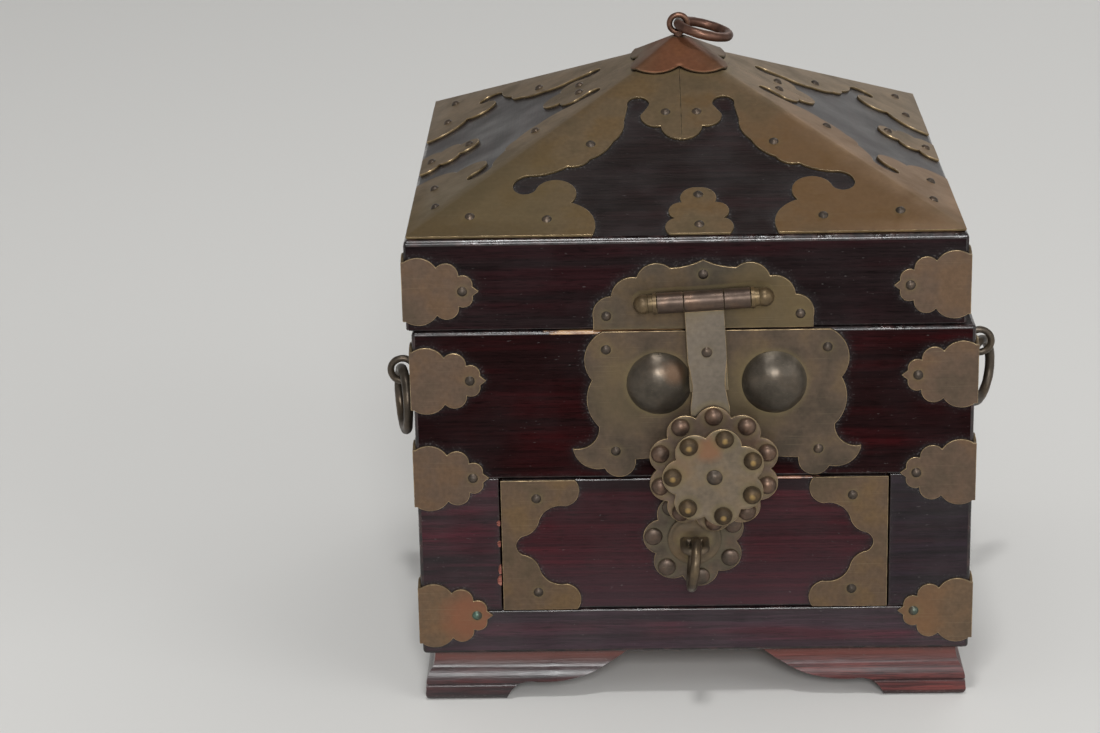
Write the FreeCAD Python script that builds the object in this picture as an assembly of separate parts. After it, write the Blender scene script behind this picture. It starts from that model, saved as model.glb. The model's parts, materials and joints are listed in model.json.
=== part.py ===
import FreeCAD, Part
import math
import os

os.makedirs("parts", exist_ok=True)

# A small wooden jewelry box: a carcass with one drawer, a hinged lid with a pyramid roof, and brass fittings.
# All sizes are in millimetres. The front faces -Y, +Z is up, and the feet stand on z = 0.

V = FreeCAD.Vector
RIGHT, BACK, UP = V(1, 0, 0), V(0, 1, 0), V(0, 0, 1)

# Carcass boards
box_width = 112.0
box_depth = 112.0
carcass_height = 69.65
board_thickness = 8.0
rail_height = 9.55
stile_width = 16.6
drawer_opening_height = 28.9
bottom_thickness = 6.0
floor_thickness = 4.0
floor_lift = 0.2

# Bracket feet: each is two mitred boards with a moulded face
foot_height = 10.75
foot_length = 42.0
foot_sole = 17.0
foot_thickness = 9.0
foot_step_height = 3.9
foot_step_length = 6.2
foot_end_height = 0.75
foot_curve_drop = 2.3

# Lid
lid_gap = 0.3
lid_inset = 0.4
lid_shift = -1.4
rim_height = 18.8
roof_rise = 25.7
roof_setback = 0.7
roof_thickness = 5.0

# Drawer
drawer_gap = 0.3
drawer_wall = 5.0
drawer_side_drop = 6.0
drawer_bottom_thickness = 3.0
drawer_back_gap = 4.0
guide_height = 14.0

# Sheet brass and nails
sheet = 0.6
lock_sheet = 0.8
nail_head_radius = 1.05
nail_head_height = 0.7
nail_shank_radius = 0.45
nail_length = 4.5
hole_clearance = 0.05

# Corner plates
corner_reach = 14.7
corner_height = 14.0
corner_nail_reach = 11.4
upper_tier_drop = 10.0
middle_tier_rise = 0.4
lower_tier_rise = 8.7
lid_tier_rise = 8.3

# Roof brass
seam_gap = 0.12
apex_clearance = 2.8
ornament_width = 12.7
ornament_height = 13.8
ornament_offset = 2.8
cap_reach = 9.0
cap_lift = 1.2
cap_lobe = 0.11
cap_clearance = 0.05

# Lock plate with two bosses, on the upper front panel
lock_plate_width = 57.8
lock_plate_offset = 4.6
lock_plate_margin = 0.4
boss_radius = 6.6
boss_height = 3.4

# Hasp: plate and barrel on the lid, strap and rosettes that swing
hasp_plate_width = 43.6
hasp_plate_height = 14.2
hasp_offset = 2.0
hasp_tilt = 3.0
barrel_rise = 6.6
barrel_radius = 2.05
barrel_standoff = 0.5
barrel_length = 18.4
knuckle_gap = 0.12
pin_radius = 1.0
pin_clearance = 0.05
collar_length = 0.75
collar_radius = 2.15
neck_length = 1.65
neck_radius = 1.8
finial_length = 4.6
finial_radius = 1.95
strap_width = 7.8
strap_waist = 6.5
waist_start = 12.4
waist_drop = 17.4
flare_drop = 22.0
strap_leaf = 0.8
back_leaf_length = 18.9
back_leaf_shift = 0.1
strap_rivet_drop = 10.5
rivet_radius = 1.1
rivet_height = 0.6
rosette_rise = 3.1
large_petals = 10
large_rosette_radius = 13.3
large_rosette_turn = 87.0
small_petals = 7
small_rosette_radius = 10.4
small_rosette_turn = 73.0
rosette_sheet = 0.8
rosette_spacing = 3.8
petal_depth = 1.9
stud_radius = 1.85
stud_height = 1.5
stud_inset = 2.05
post_radius = 0.9
post_collar_radius = 1.9
post_head_radius = 1.6
post_head_height = 0.8

# Drawer brass and ring pull
drawer_plate_width = 15.9
drawer_nail_reach = 7.2
drawer_nail_edge = 3.9
drawer_rosette_rise = 1.1
drawer_stud_height = 1.2
pull_boss_radius = 5.4
pull_boss_height = 1.0
pull_eye_wire = 0.8
pull_eye_half_width = 2.2
pull_eye_reach = 7.6
pull_ring_radius = 4.65
pull_ring_wire = 1.05
pull_ring_gap = 0.15
pull_ring_lean = 7.0

# Side eyes with hanging rings, and the eye with its ring on top
eye_radius = 2.6
eye_wire = 0.8
eye_shank_radius = 0.9
eye_shank_depth = 6.0
side_eye_reach_left = 6.3
side_eye_reach_right = 7.6
side_eye_drop_left = 26.9
side_eye_drop_right = 22.1
side_ring_radius = 6.8
side_ring_wire = 1.1
side_ring_skew_left = 12.0
side_ring_skew_right = 28.0
top_eye_radius = 1.85
top_eye_wire = 0.65
top_eye_rise = 1.78
top_ring_radius = 5.45
top_ring_wire = 1.05
top_ring_dip = 14.0

# Rear hinges
hinge_spread = 30.0
hinge_width = 16.0
hinge_leaf_height = 10.0
hinge_leaf = 0.8
hinge_knuckle = 6.0
hinge_radius = 1.9
hinge_pin_radius = 0.9
hinge_axis_back = 2.3
hinge_leaf_clear = 1.5
hinge_nail_reach = 4.6

# Levels and half sizes that follow from the sizes above
half_width = box_width / 2
half_depth = box_depth / 2
front = -half_depth
rail_top = foot_height + rail_height
opening_top = rail_top + drawer_opening_height
carcass_top = foot_height + carcass_height
inner_x = half_width - board_thickness
inner_y = half_depth - board_thickness
opening_half = half_width - stile_width
lid_half_x = half_width - lid_inset
lid_half_y = half_depth - lid_inset
lid_front = -lid_half_y
roof_half_x = lid_half_x - roof_setback
roof_half_y = lid_half_y - roof_setback
lid_bottom = carcass_top + lid_gap
rim_top = lid_bottom + rim_height
cap_rise = roof_rise * cap_reach / roof_half_x + cap_lift
tier_spacing = carcass_top - upper_tier_drop - opening_top - middle_tier_rise
rosette_drop = lid_bottom + barrel_rise - opening_top - rosette_rise
nodes = {}


# Shape helpers
def block(x0, x1, y0, y1, z0, z1):
    return Part.makeBox(x1 - x0, y1 - y0, z1 - z0, V(x0, y0, z0))


def rod(start, end, radius):
    return Part.makeCylinder(radius, (end - start).Length, start, end - start)


# A spherical cap that stands on z = 0
def dome(radius, height):
    ball = (radius ** 2 + height ** 2) / (2 * height)
    rim_latitude = math.degrees(math.asin((ball - height) / ball))
    return Part.makeSphere(ball, V(0, 0, height - ball), UP, rim_latitude, 90, 360)


def is_arc(step):
    return isinstance(step[0], tuple)


# Adds to a half outline its mirror image, run backwards
def with_mirror(start, half, flip):
    def mirror(point):
        return (point[0] * flip[0], point[1] * flip[1])
    ends = [start] + [step[1] if is_arc(step) else step for step in half]
    back = []
    for index in range(len(half) - 1, -1, -1):
        end = mirror(ends[index])
        back.append((mirror(half[index][0]), end) if is_arc(half[index]) else end)
    return half + back


# A flat face from a start point and steps: a corner, or a point on an arc with the arc's end.
# Points are shares of the width and the height.
def flat_face(start, steps, width, height):
    def point(share):
        return V(share[0] * width, share[1] * height, 0)
    edges = []
    here = point(start)
    for step in steps:
        end = point(step[1] if is_arc(step) else step)
        if is_arc(step):
            edges.append(Part.Arc(here, point(step[0]), end).toShape())
        elif here.distanceToPoint(end) > 1e-6:
            edges.append(Part.LineSegment(here, end).toShape())
        here = end
    if here.distanceToPoint(point(start)) > 1e-6:
        edges.append(Part.LineSegment(here, point(start)).toShape())
    return Part.Face(Part.Wire(edges))


# A flower outline: petals as arcs between cusps, with the first petal's tip at the given turn
def flower_face(petals, radius, turn):
    half_step = math.pi / petals
    edges = []
    for index in range(petals):
        tip = math.radians(turn) + 2 * half_step * index
        corners = []
        for angle, reach in ((tip - half_step, radius - petal_depth), (tip, radius),
                             (tip + half_step, radius - petal_depth)):
            corners.append(V(reach * math.cos(angle), reach * math.sin(angle), 0))
        edges.append(Part.Arc(*corners).toShape())
    return Part.Face(Part.Wire(edges))


def flower_spots(petals, radius, turn):
    reach = radius - stud_inset
    angles = [math.radians(turn) + 2 * math.pi * index / petals for index in range(petals)]
    return [V(reach * math.cos(angle), reach * math.sin(angle), 0) for angle in angles]


def moved(shape, x, y, z):
    copy = shape.copy()
    copy.translate(V(x, y, z))
    return copy


def turned(shape, axis, angle, center=V(0, 0, 0)):
    copy = shape.copy()
    copy.rotate(center, axis, angle)
    return copy


# Stands a shape drawn in XY up against a front: its y becomes z, and its thickness points to the viewer
def upright(shape, x, y, z):
    return moved(turned(shape, RIGHT, 90), x, y, z)


def fused(shapes):
    return shapes[0].multiFuse(shapes[1:]).removeSplitter()


# Copies a shape drawn at the front left corner to all four corners
def at_corners(shape, half_x, half_y, z):
    places = ((-half_x, -half_y), (half_x, -half_y), (half_x, half_y), (-half_x, half_y))
    return [moved(turned(shape, UP, 90 * turn), x, y, z) for turn, (x, y) in enumerate(places)]


# The lid has worked a little to one side on its hinges: its rim and roof are drawn in the middle, then moved
def on_lid(shape):
    return moved(shape, lid_shift, 0, 0)


# A nail stands on the sheet at a spot, with its shank through the sheet into the wood
nail_shape = dome(nail_head_radius, nail_head_height).fuse(
    Part.makeCylinder(nail_shank_radius, nail_length, V(0, 0, -nail_length)))


def nail(spot, outward):
    copy = nail_shape.copy()
    copy.Placement = FreeCAD.Placement(spot, FreeCAD.Rotation(UP, outward))
    return copy


def pierced(plate, spots, outward, radius=nail_shank_radius + hole_clearance):
    depth = outward * (2 * (sheet + lock_sheet))
    return plate.cut([rod(spot - depth, spot + depth, radius) for spot in spots])


def ring_shape(center, normal, radius, wire):
    return Part.makeTorus(radius, wire, center, normal)


# Carcass boards
for side, sign in (("left", -1), ("right", 1)):
    outer, inner, stile = sign * half_width, sign * inner_x, sign * opening_half
    nodes["side_panel_" + side] = block(min(outer, inner), max(outer, inner), -inner_y, half_depth,
                                        foot_height, carcass_top)
    nodes["front_stile_" + side] = block(min(outer, stile), max(outer, stile), front, -inner_y,
                                         rail_top, opening_top)
nodes["back_panel"] = block(-inner_x, inner_x, inner_y, half_depth, foot_height, carcass_top)
nodes["upper_front_panel"] = block(-half_width, half_width, front, -inner_y, opening_top, carcass_top)
nodes["bottom_rail"] = block(-half_width, half_width, front, -inner_y, foot_height, rail_top)
nodes["bottom_board"] = block(-inner_x, inner_x, -inner_y, inner_y, rail_top - bottom_thickness, rail_top)
floor_bottom = opening_top + floor_lift
nodes["compartment_floor"] = block(-inner_x, inner_x, -inner_y, inner_y, floor_bottom,
                                   floor_bottom + floor_thickness)
guide = block(opening_half, inner_x, -inner_y, inner_y, rail_top, rail_top + guide_height)
nodes["drawer_guides"] = Part.makeCompound([guide, turned(guide, UP, 180)])

# Feet: the moulded section runs along the front, cut to the bracket's outline and mitred at the corner
section = flat_face((1.0, 1.0), [(0.26, 1.0), ((0.245, 0.8), (0.19, 0.64)), ((0.085, 0.51), (0.045, 0.35)),
                                 (0.085, 0.315), (0.04, 0.285), (0.03, 0.17), ((0.06, 0.05), (0.14, 0.0)),
                                 (1.0, 0.0)], foot_thickness, foot_height)
section.rotate(V(0, 0, 0), V(1, 1, 1), 120)
moulding = section.extrude(V(foot_length, 0, 0))
foot_step = foot_sole + foot_step_length
step_middle = (foot_sole + 0.28 * foot_step_length, 0.74 * foot_step_height)
curve_middle = ((foot_step + foot_length) / 2, (foot_step_height + foot_height) / 2 - foot_curve_drop)
bracket = flat_face((0, 0), [(foot_sole, 0), (step_middle, (foot_step, foot_step_height)),
                             (curve_middle, (foot_length, foot_height - foot_end_height)),
                             (foot_length, foot_height), (0, foot_height)], 1, 1)
bracket_block = upright(bracket.extrude(V(0, 0, foot_thickness)), 0, foot_thickness, 0)
mitre = Part.Face(Part.makePolygon([V(0, 0, 0), V(foot_length, 0, 0), V(foot_length, foot_length, 0),
                                    V(0, 0, 0)])).extrude(V(0, 0, foot_height))
foot_front = moulding.common(bracket_block).common(mitre)
foot_side = foot_front.mirror(V(0, 0, 0), V(1, -1, 0))
foot_names = ("foot_front_left", "foot_front_right", "foot_back_right", "foot_back_left")
foot_pair = Part.makeCompound([foot_front, foot_side])
for name, foot in zip(foot_names, at_corners(foot_pair, half_width, half_depth, 0)):
    nodes[name] = foot

# Corner plates: two scalloped leaves folded round the corner, one nail in each
leaf_half = [((0.21, -0.50), (0.43, -0.355)), ((0.63, -0.40), (0.73, -0.225)),
             ((0.865, -0.21), (0.915, -0.07)), (1.0, 0.0)]
leaf_start = (-sheet / corner_reach, -0.44)
leaf_face = flat_face(leaf_start, with_mirror(leaf_start, [(0.0, -0.44)] + leaf_half, (1, -1)),
                      corner_reach, min(corner_height, tier_spacing))
front_leaf = upright(leaf_face.extrude(V(0, 0, sheet)), 0, 0, 0)
side_leaf = front_leaf.mirror(V(0, 0, 0), V(1, -1, 0))
corner_spots = ((V(corner_nail_reach, -sheet, 0), -BACK), (V(-sheet, corner_nail_reach, 0), -RIGHT))
corner_plate = fused([front_leaf, side_leaf])
for spot, outward in corner_spots:
    corner_plate = pierced(corner_plate, [spot], outward)
corner_nails = Part.makeCompound([nail(spot, outward) for spot, outward in corner_spots])
carcass_nails = []
tiers = (("upper", carcass_top - upper_tier_drop), ("middle", opening_top + middle_tier_rise),
         ("lower", foot_height + lower_tier_rise))
for tier, level in tiers:
    plates = at_corners(corner_plate, half_width, half_depth, level)
    nodes["corner_plates_" + tier] = Part.makeCompound(plates)
    carcass_nails += at_corners(corner_nails, half_width, half_depth, level)
lid_level = lid_bottom + lid_tier_rise
lid_corners = at_corners(corner_plate, lid_half_x, lid_half_y, lid_level)
nodes["lid_corner_plates"] = on_lid(Part.makeCompound(lid_corners))
lid_nails = [on_lid(pair) for pair in at_corners(corner_nails, lid_half_x, lid_half_y, lid_level)]

# Lock plate on the upper front panel, between the lid's seam and the drawer
lock_height = carcass_top - opening_top - lock_plate_margin
lock_half = [(0.39, 0.0), ((0.455, -0.18), (0.43, -0.33)), ((0.448, -0.49), (0.408, -0.65)),
             ((0.432, -0.765), (0.50, -0.80)), ((0.47, -0.905), (0.39, -0.94)),
             ((0.345, -1.0), (0.282, -0.88)), (0.0, -0.85)]
lock_nails = ((0.38, -0.122), (0.351, -0.82))
boss_place = (0.198, -0.356)
lock_face = flat_face((0.0, 0.0), with_mirror((0.0, 0.0), lock_half, (-1, 1)), lock_plate_width, lock_height)
lock_plate = upright(lock_face.extrude(V(0, 0, lock_sheet)), lock_plate_offset, front, carcass_top)
lock_spots = []
for share_x, share_z in lock_nails:
    for sign in (-1, 1):
        lock_spots.append(V(lock_plate_offset + sign * share_x * lock_plate_width, front - lock_sheet,
                            carcass_top + share_z * lock_height))
nodes["lock_plate"] = pierced(lock_plate, lock_spots, -BACK)
carcass_nails += [nail(spot, -BACK) for spot in lock_spots]
boss_level = carcass_top + boss_place[1] * lock_height
boss_spread = boss_place[0] * lock_plate_width
boss = upright(dome(boss_radius, boss_height), lock_plate_offset, front - lock_sheet, boss_level)
nodes["lock_plate_bosses"] = Part.makeCompound([moved(boss, sign * boss_spread, 0, 0) for sign in (-1, 1)])

# Side eyes screwed into the side panels, each with a ring through it
eye_places = (("left", -1, side_eye_reach_left, side_eye_drop_left, side_ring_skew_left),
              ("right", 1, side_eye_reach_right, side_eye_drop_right, side_ring_skew_right))
ring_axes = {}
for side, sign, reach, drop, skew in eye_places:
    center = V(sign * (half_width + reach), 0, carcass_top - drop)
    shank = rod(V(sign * (half_width - eye_shank_depth), 0, center.z),
                center - V(sign * eye_radius, 0, 0), eye_shank_radius)
    nodes["side_eye_" + side] = ring_shape(center, BACK, eye_radius, eye_wire).fuse(shank)
    along = V(sign * math.sin(math.radians(skew)), math.cos(math.radians(skew)), 0)
    nodes["side_ring_" + side] = ring_shape(center - UP * side_ring_radius, along.cross(UP),
                                            side_ring_radius, side_ring_wire)
    ring_axes["side_ring_" + side] = (center, along * -sign)

# Lid rim: four mitred boards
rim_inner_x = lid_half_x - board_thickness
rim_inner_y = lid_half_y - board_thickness
rim_corners = [(-1, -1), (1, -1), (1, 1), (-1, 1)]
for index, name in enumerate(("front", "right", "back", "left")):
    first, second = rim_corners[index], rim_corners[(index + 1) % 4]
    corners = [V(first[0] * lid_half_x, first[1] * lid_half_y, lid_bottom),
               V(second[0] * lid_half_x, second[1] * lid_half_y, lid_bottom),
               V(second[0] * rim_inner_x, second[1] * rim_inner_y, lid_bottom),
               V(first[0] * rim_inner_x, first[1] * rim_inner_y, lid_bottom)]
    rim_board = Part.Face(Part.makePolygon(corners + corners[:1])).extrude(V(0, 0, rim_height))
    nodes["lid_rim_" + name] = on_lid(rim_board)

# Roof faces. Each is drawn flat, with x along the eave and y up the slope, then laid on its side of the lid
# and cut to the sector between its two hips.
hip_start = (-0.333, 0.0)
hip_inner = [((-0.338, 0.105), (-0.41, 0.16)), ((-0.49, 0.272), (-0.54, 0.225)),
             ((-0.59, 0.206), (-0.622, 0.243)), ((-0.603, 0.283), (-0.545, 0.300)),
             ((-0.482, 0.314), (-0.425, 0.345)), ((-0.375, 0.350), (-0.340, 0.382)),
             ((-0.287, 0.420), (-0.254, 0.472)), ((-0.2205, 0.522), (-0.2135, 0.578)), (-0.199, 0.655),
             ((-0.16, 0.703), (-0.120, 0.658)), ((-0.135, 0.632), (-0.152, 0.606)),
             ((-0.137, 0.565), (-0.077, 0.547)), ((-0.062, 0.507), (0.0, 0.478))]
hip_nails = ((0.775, 0.097), (0.497, 0.079), (0.338, 0.456), (0.058, 0.62))
cap_half = [((0.5, -cap_lobe), (1.0, 0.0)), (1.2, 1.0), (0.0, 1.0)]
ornament_start = (0.0, 0.0)
ornament_half = [(0.47, 0.0), ((0.525, 0.19), (0.385, 0.335)), ((0.47, 0.52), (0.265, 0.675)),
                 ((0.25, 0.885), (0.0, 1.0))]
ornament_nails = (0.19, 0.84)


class RoofFace:
    def __init__(self, turn):
        even = turn % 2 == 0
        self.turn = turn
        self.half = roof_half_x if even else roof_half_y
        self.run = roof_half_y if even else roof_half_x
        self.slope = math.atan2(roof_rise, self.run)
        self.slant = math.hypot(roof_rise, self.run)
        corners = [V(0, 0, 0), V(-2 * self.half, -2 * self.run, 0), V(2 * self.half, -2 * self.run, 0)]
        sector = Part.Face(Part.makePolygon(corners + corners[:1])).extrude(V(0, 0, rim_top + 2 * roof_rise))
        self.sector = turned(sector, UP, 90 * turn)

    def lay(self, shape):
        leaned = turned(shape, RIGHT, math.degrees(self.slope))
        return turned(moved(leaned, 0, -self.run, rim_top), UP, 90 * self.turn)

    def trimmed(self, shape):
        return self.lay(shape).common(self.sector)

    def board(self):
        slab = block(-2 * self.half, 2 * self.half, -roof_thickness, 2 * self.slant, -roof_thickness, 0)
        above = block(-box_width, box_width, -box_depth, box_depth, rim_top, rim_top + 2 * roof_rise)
        return self.trimmed(slab).common(above).Solids[0]

    # The part of a hip plate on this face: sign -1 is the left hip, 1 the right
    def hip_leaf(self, sign):
        top = self.slant - apex_clearance
        seam = -seam_gap / 2 / self.half
        steps = list(hip_inner)
        through, tip = steps.pop()
        steps.append((through, (seam, tip[1])))
        steps += [(seam, top / self.slant), (-1.2, top / self.slant), (-1.2, 0.0)]
        leaf = flat_face(hip_start, steps, self.half, self.slant).extrude(V(0, 0, sheet))
        spots = [V(-x * self.half, y * self.slant, sheet) for x, y in hip_nails]
        leaf = pierced(leaf, spots, UP)
        if sign > 0:
            leaf = leaf.mirror(V(0, 0, 0), RIGHT)
        return self.trimmed(leaf)

    # The cap is steeper than the roof: its lobes rest on the hip plates and its point stands clear of them
    def cap_leaf(self):
        start = (0.0, 0.1)
        steps = with_mirror(start, cap_half, (-1, 1))
        share = cap_reach / roof_half_x
        height = math.hypot(share * self.run, cap_rise)
        slope = math.atan2(cap_rise, share * self.run)
        leaf = flat_face(start, steps, share * self.half, height).extrude(V(0, 0, sheet))
        overhang = cap_lobe * height * (math.sin(slope) - math.cos(slope) * math.tan(self.slope))
        self.cap_base = (rim_top + roof_rise * (1 - share) + sheet / math.cos(self.slope)
                         + overhang + cap_clearance)
        self.cap_top = self.cap_base + cap_rise + sheet / math.cos(slope)
        seated = moved(turned(leaf, RIGHT, math.degrees(slope)), 0, -share * self.run, self.cap_base)
        return turned(seated, UP, 90 * self.turn).common(self.sector)

    def ornament(self):
        face = flat_face(ornament_start, with_mirror(ornament_start, ornament_half, (-1, 1)),
                         ornament_width, ornament_height)
        spots = [V(0, share * ornament_height, sheet) for share in ornament_nails]
        return self.lay(moved(pierced(face.extrude(V(0, 0, sheet)), spots, UP), ornament_offset, 0, 0))

    def nails(self):
        spots = [V(sign * x * self.half, y * self.slant, sheet) for x, y in hip_nails for sign in (-1, 1)]
        spots += [V(ornament_offset, share * ornament_height, sheet) for share in ornament_nails]
        return [self.lay(nail(spot, UP)) for spot in spots]


faces = [RoofFace(turn) for turn in range(4)]
for face, name in zip(faces, ("front", "right", "back", "left")):
    nodes["roof_board_" + name] = on_lid(face.board())
    lid_nails += [on_lid(one) for one in face.nails()]
hip_plates = [fused([faces[index].hip_leaf(1), faces[(index + 1) % 4].hip_leaf(-1)]) for index in range(4)]
nodes["roof_hip_plates"] = on_lid(Part.makeCompound(hip_plates))
nodes["roof_ornaments"] = on_lid(Part.makeCompound([face.ornament() for face in faces]))

# Copper cap over the hip plates, and the eye with its ring
eye_hole = rod(V(0, 0, rim_top), V(0, 0, rim_top + 2 * roof_rise), eye_shank_radius + hole_clearance)
nodes["roof_cap"] = on_lid(fused([face.cap_leaf() for face in faces]).cut(eye_hole))
cap_apex = max(face.cap_top for face in faces)
top_eye_center = V(lid_shift, 0, cap_apex + top_eye_rise)
top_shank = rod(V(lid_shift, 0, cap_apex - eye_shank_depth), top_eye_center - UP * top_eye_radius,
                eye_shank_radius)
nodes["top_eye"] = ring_shape(top_eye_center, BACK, top_eye_radius, top_eye_wire).fuse(top_shank)
dip = math.radians(top_ring_dip)
top_ring_center = top_eye_center + V(math.cos(dip), 0, -math.sin(dip)) * top_ring_radius
top_ring_normal = V(math.sin(dip), 0, math.cos(dip))
nodes["top_ring"] = ring_shape(top_ring_center, top_ring_normal, top_ring_radius, top_ring_wire)
ring_axes["top_ring"] = (top_eye_center, -BACK)

# Hasp plate on the lid, with two barrel knuckles. The barrel is a little out of level.
hasp_half = [(0.5, 0.0), (0.5, 0.16), ((0.48, 0.40), (0.418, 0.485)), ((0.385, 0.685), (0.302, 0.755)),
             ((0.255, 0.925), (0.15, 0.885)), ((0.08, 0.91), (0.0, 1.0))]
hasp_start = (0.0, 0.0)
hasp_nails = ((0.0, 0.79), (-0.44, 0.2), (0.44, 0.2))
hasp_face = flat_face(hasp_start, with_mirror(hasp_start, hasp_half, (-1, 1)), hasp_plate_width,
                      hasp_plate_height)
hasp_plate = upright(hasp_face.extrude(V(0, 0, lock_sheet)), hasp_offset, lid_front, lid_bottom)
hasp_spots = [V(hasp_offset + x * hasp_plate_width, lid_front - lock_sheet,
                lid_bottom + z * hasp_plate_height) for x, z in hasp_nails]
hasp_plate = pierced(hasp_plate, hasp_spots, -BACK)
lid_nails += [nail(spot, -BACK) for spot in hasp_spots]

hasp_axis = V(hasp_offset, lid_front - lock_sheet - barrel_radius - barrel_standoff, lid_bottom + barrel_rise)


# Hasp pieces are drawn with the barrel's axis along x through the origin and the strap hanging down
def hung(shape):
    return moved(turned(shape, BACK, -hasp_tilt), hasp_axis.x, hasp_axis.y, hasp_axis.z)


def barrel(x0, x1):
    return rod(V(x0, 0, 0), V(x1, 0, 0), barrel_radius)


strap_half = strap_width / 2
bore = rod(V(-box_width, 0, 0), V(box_width, 0, 0), pin_radius + pin_clearance)
web_depth = barrel_radius + barrel_standoff + lock_sheet / 2
fixed = [hasp_plate]
for sign in (-1, 1):
    ends = sorted((sign * (strap_half + knuckle_gap), sign * barrel_length / 2))
    web = block(ends[0], ends[1], 0, web_depth, -barrel_radius / 2, barrel_radius / 2)
    fixed += [hung(barrel(*ends).fuse(web).cut(bore))]
nodes["hasp_plate"] = fused(fixed)

pin_half = barrel_length / 2 + knuckle_gap
neck_end = pin_half + neck_length
ball_center = pin_half + finial_length - finial_radius
ball_root = math.sqrt(finial_radius ** 2 - (ball_center - neck_end) ** 2)
pin_start = (0.0, pin_radius)
pin_steps = [(pin_half, pin_radius), (pin_half, collar_radius), (pin_half + collar_length, collar_radius),
             (pin_half + collar_length, neck_radius), (neck_end, neck_radius), (neck_end, ball_root),
             ((ball_center, finial_radius), (ball_center + finial_radius, 0.0)), (0.0, 0.0)]
pin_face = flat_face(pin_start, with_mirror(pin_start, pin_steps, (-1, 1)), 1, 1)
nodes["hasp_pin"] = hung(pin_face.revolve(V(0, 0, 0), RIGHT, 360))

# Strap: a sheet folded round the pin, its front leaf carries the rosettes
strap_end = rosette_drop + 2 * post_collar_radius
leaf_top = -pin_radius
waist_half = strap_waist / 2
waist_in = (0.6 * waist_half + 0.4 * strap_half, -(waist_start + waist_drop) / 2)
waist_out = (0.6 * waist_half + 0.4 * strap_half, -(flare_drop + waist_drop) / 2)
front_steps = [(strap_half, leaf_top), (strap_half, -waist_start), (waist_in, (waist_half, -waist_drop)),
               (waist_out, (strap_half, -flare_drop)), (strap_half, -strap_end), (0.0, -strap_end)]
strap_start = (0.0, leaf_top)
front_face = flat_face(strap_start, with_mirror(strap_start, front_steps, (-1, 1)), 1, 1)
front_leaf = upright(front_face.extrude(V(0, 0, strap_leaf)), 0, 0, 0)
back_leaf = block(-strap_half + back_leaf_shift, strap_half, 0, strap_leaf, -back_leaf_length, leaf_top)
strap = fused([barrel(-strap_half, strap_half), front_leaf, back_leaf]).cut(bore)
rosette_center = V(0, 0, -rosette_drop)
through = BACK * box_depth
post_hole = rod(rosette_center - through, rosette_center + through, post_radius + hole_clearance)
rivet_center = V(0, 0, -strap_rivet_drop)
rivet_shank = nail_shank_radius + hole_clearance
rivet_hole = rod(rivet_center - through, rivet_center + through, rivet_shank + hole_clearance)
nodes["hasp_strap"] = hung(strap.cut([post_hole, rivet_hole]))
rivet = dome(rivet_radius, rivet_height).fuse(rod(V(0, 0, -2 * strap_leaf), V(0, 0, 0), rivet_shank))
nodes["strap_rivet"] = hung(upright(rivet, 0, -strap_leaf, -strap_rivet_drop))

# Rosettes on the strap: the large one against it, the small one in front on a post
large_level = strap_leaf + rosette_sheet
small_level = large_level + rosette_spacing
front_level = small_level + rosette_sheet


def on_strap(shape, level):
    return hung(upright(shape, 0, -level, -rosette_drop))


hub = Part.makeCylinder(post_radius + hole_clearance, rosette_sheet)
large_face = flower_face(large_petals, large_rosette_radius, large_rosette_turn)
small_face = flower_face(small_petals, small_rosette_radius, small_rosette_turn)
nodes["large_rosette"] = on_strap(large_face.extrude(V(0, 0, rosette_sheet)).cut(hub), strap_leaf)
nodes["small_rosette"] = on_strap(small_face.extrude(V(0, 0, rosette_sheet)).cut(hub), small_level)
stud = dome(stud_radius, stud_height)
studs = [on_strap(moved(stud, spot.x, spot.y, 0), large_level)
         for spot in flower_spots(large_petals, large_rosette_radius, large_rosette_turn)]
studs += [on_strap(moved(stud, spot.x, spot.y, 0), front_level)
          for spot in flower_spots(small_petals, small_rosette_radius, small_rosette_turn)]
nodes["rosette_studs"] = Part.makeCompound(studs)
post = fused([rod(V(0, 0, 0), V(0, 0, front_level), post_radius),
              rod(V(0, 0, large_level), V(0, 0, small_level), post_collar_radius),
              moved(dome(post_head_radius, post_head_height), 0, 0, front_level)])
nodes["rosette_post"] = on_strap(post, 0)

# Drawer
drawer_half = opening_half - drawer_gap
drawer_bottom = rail_top + drawer_gap
drawer_top = opening_top - drawer_gap
drawer_back = inner_y - drawer_back_gap
side_top = drawer_top - drawer_side_drop
nodes["drawer_front"] = block(-drawer_half, drawer_half, front, -inner_y, drawer_bottom, drawer_top)
drawer_side = block(drawer_half - drawer_wall, drawer_half, -inner_y, drawer_back, drawer_bottom, side_top)
nodes["drawer_sides"] = Part.makeCompound([drawer_side, drawer_side.mirror(V(0, 0, 0), RIGHT)])
wall_inner = drawer_half - drawer_wall
nodes["drawer_back"] = block(-wall_inner, wall_inner, drawer_back - drawer_wall, drawer_back,
                             drawer_bottom, side_top)
nodes["drawer_bottom"] = block(-wall_inner, wall_inner, -inner_y, drawer_back - drawer_wall, drawer_bottom,
                               drawer_bottom + drawer_bottom_thickness)

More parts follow.
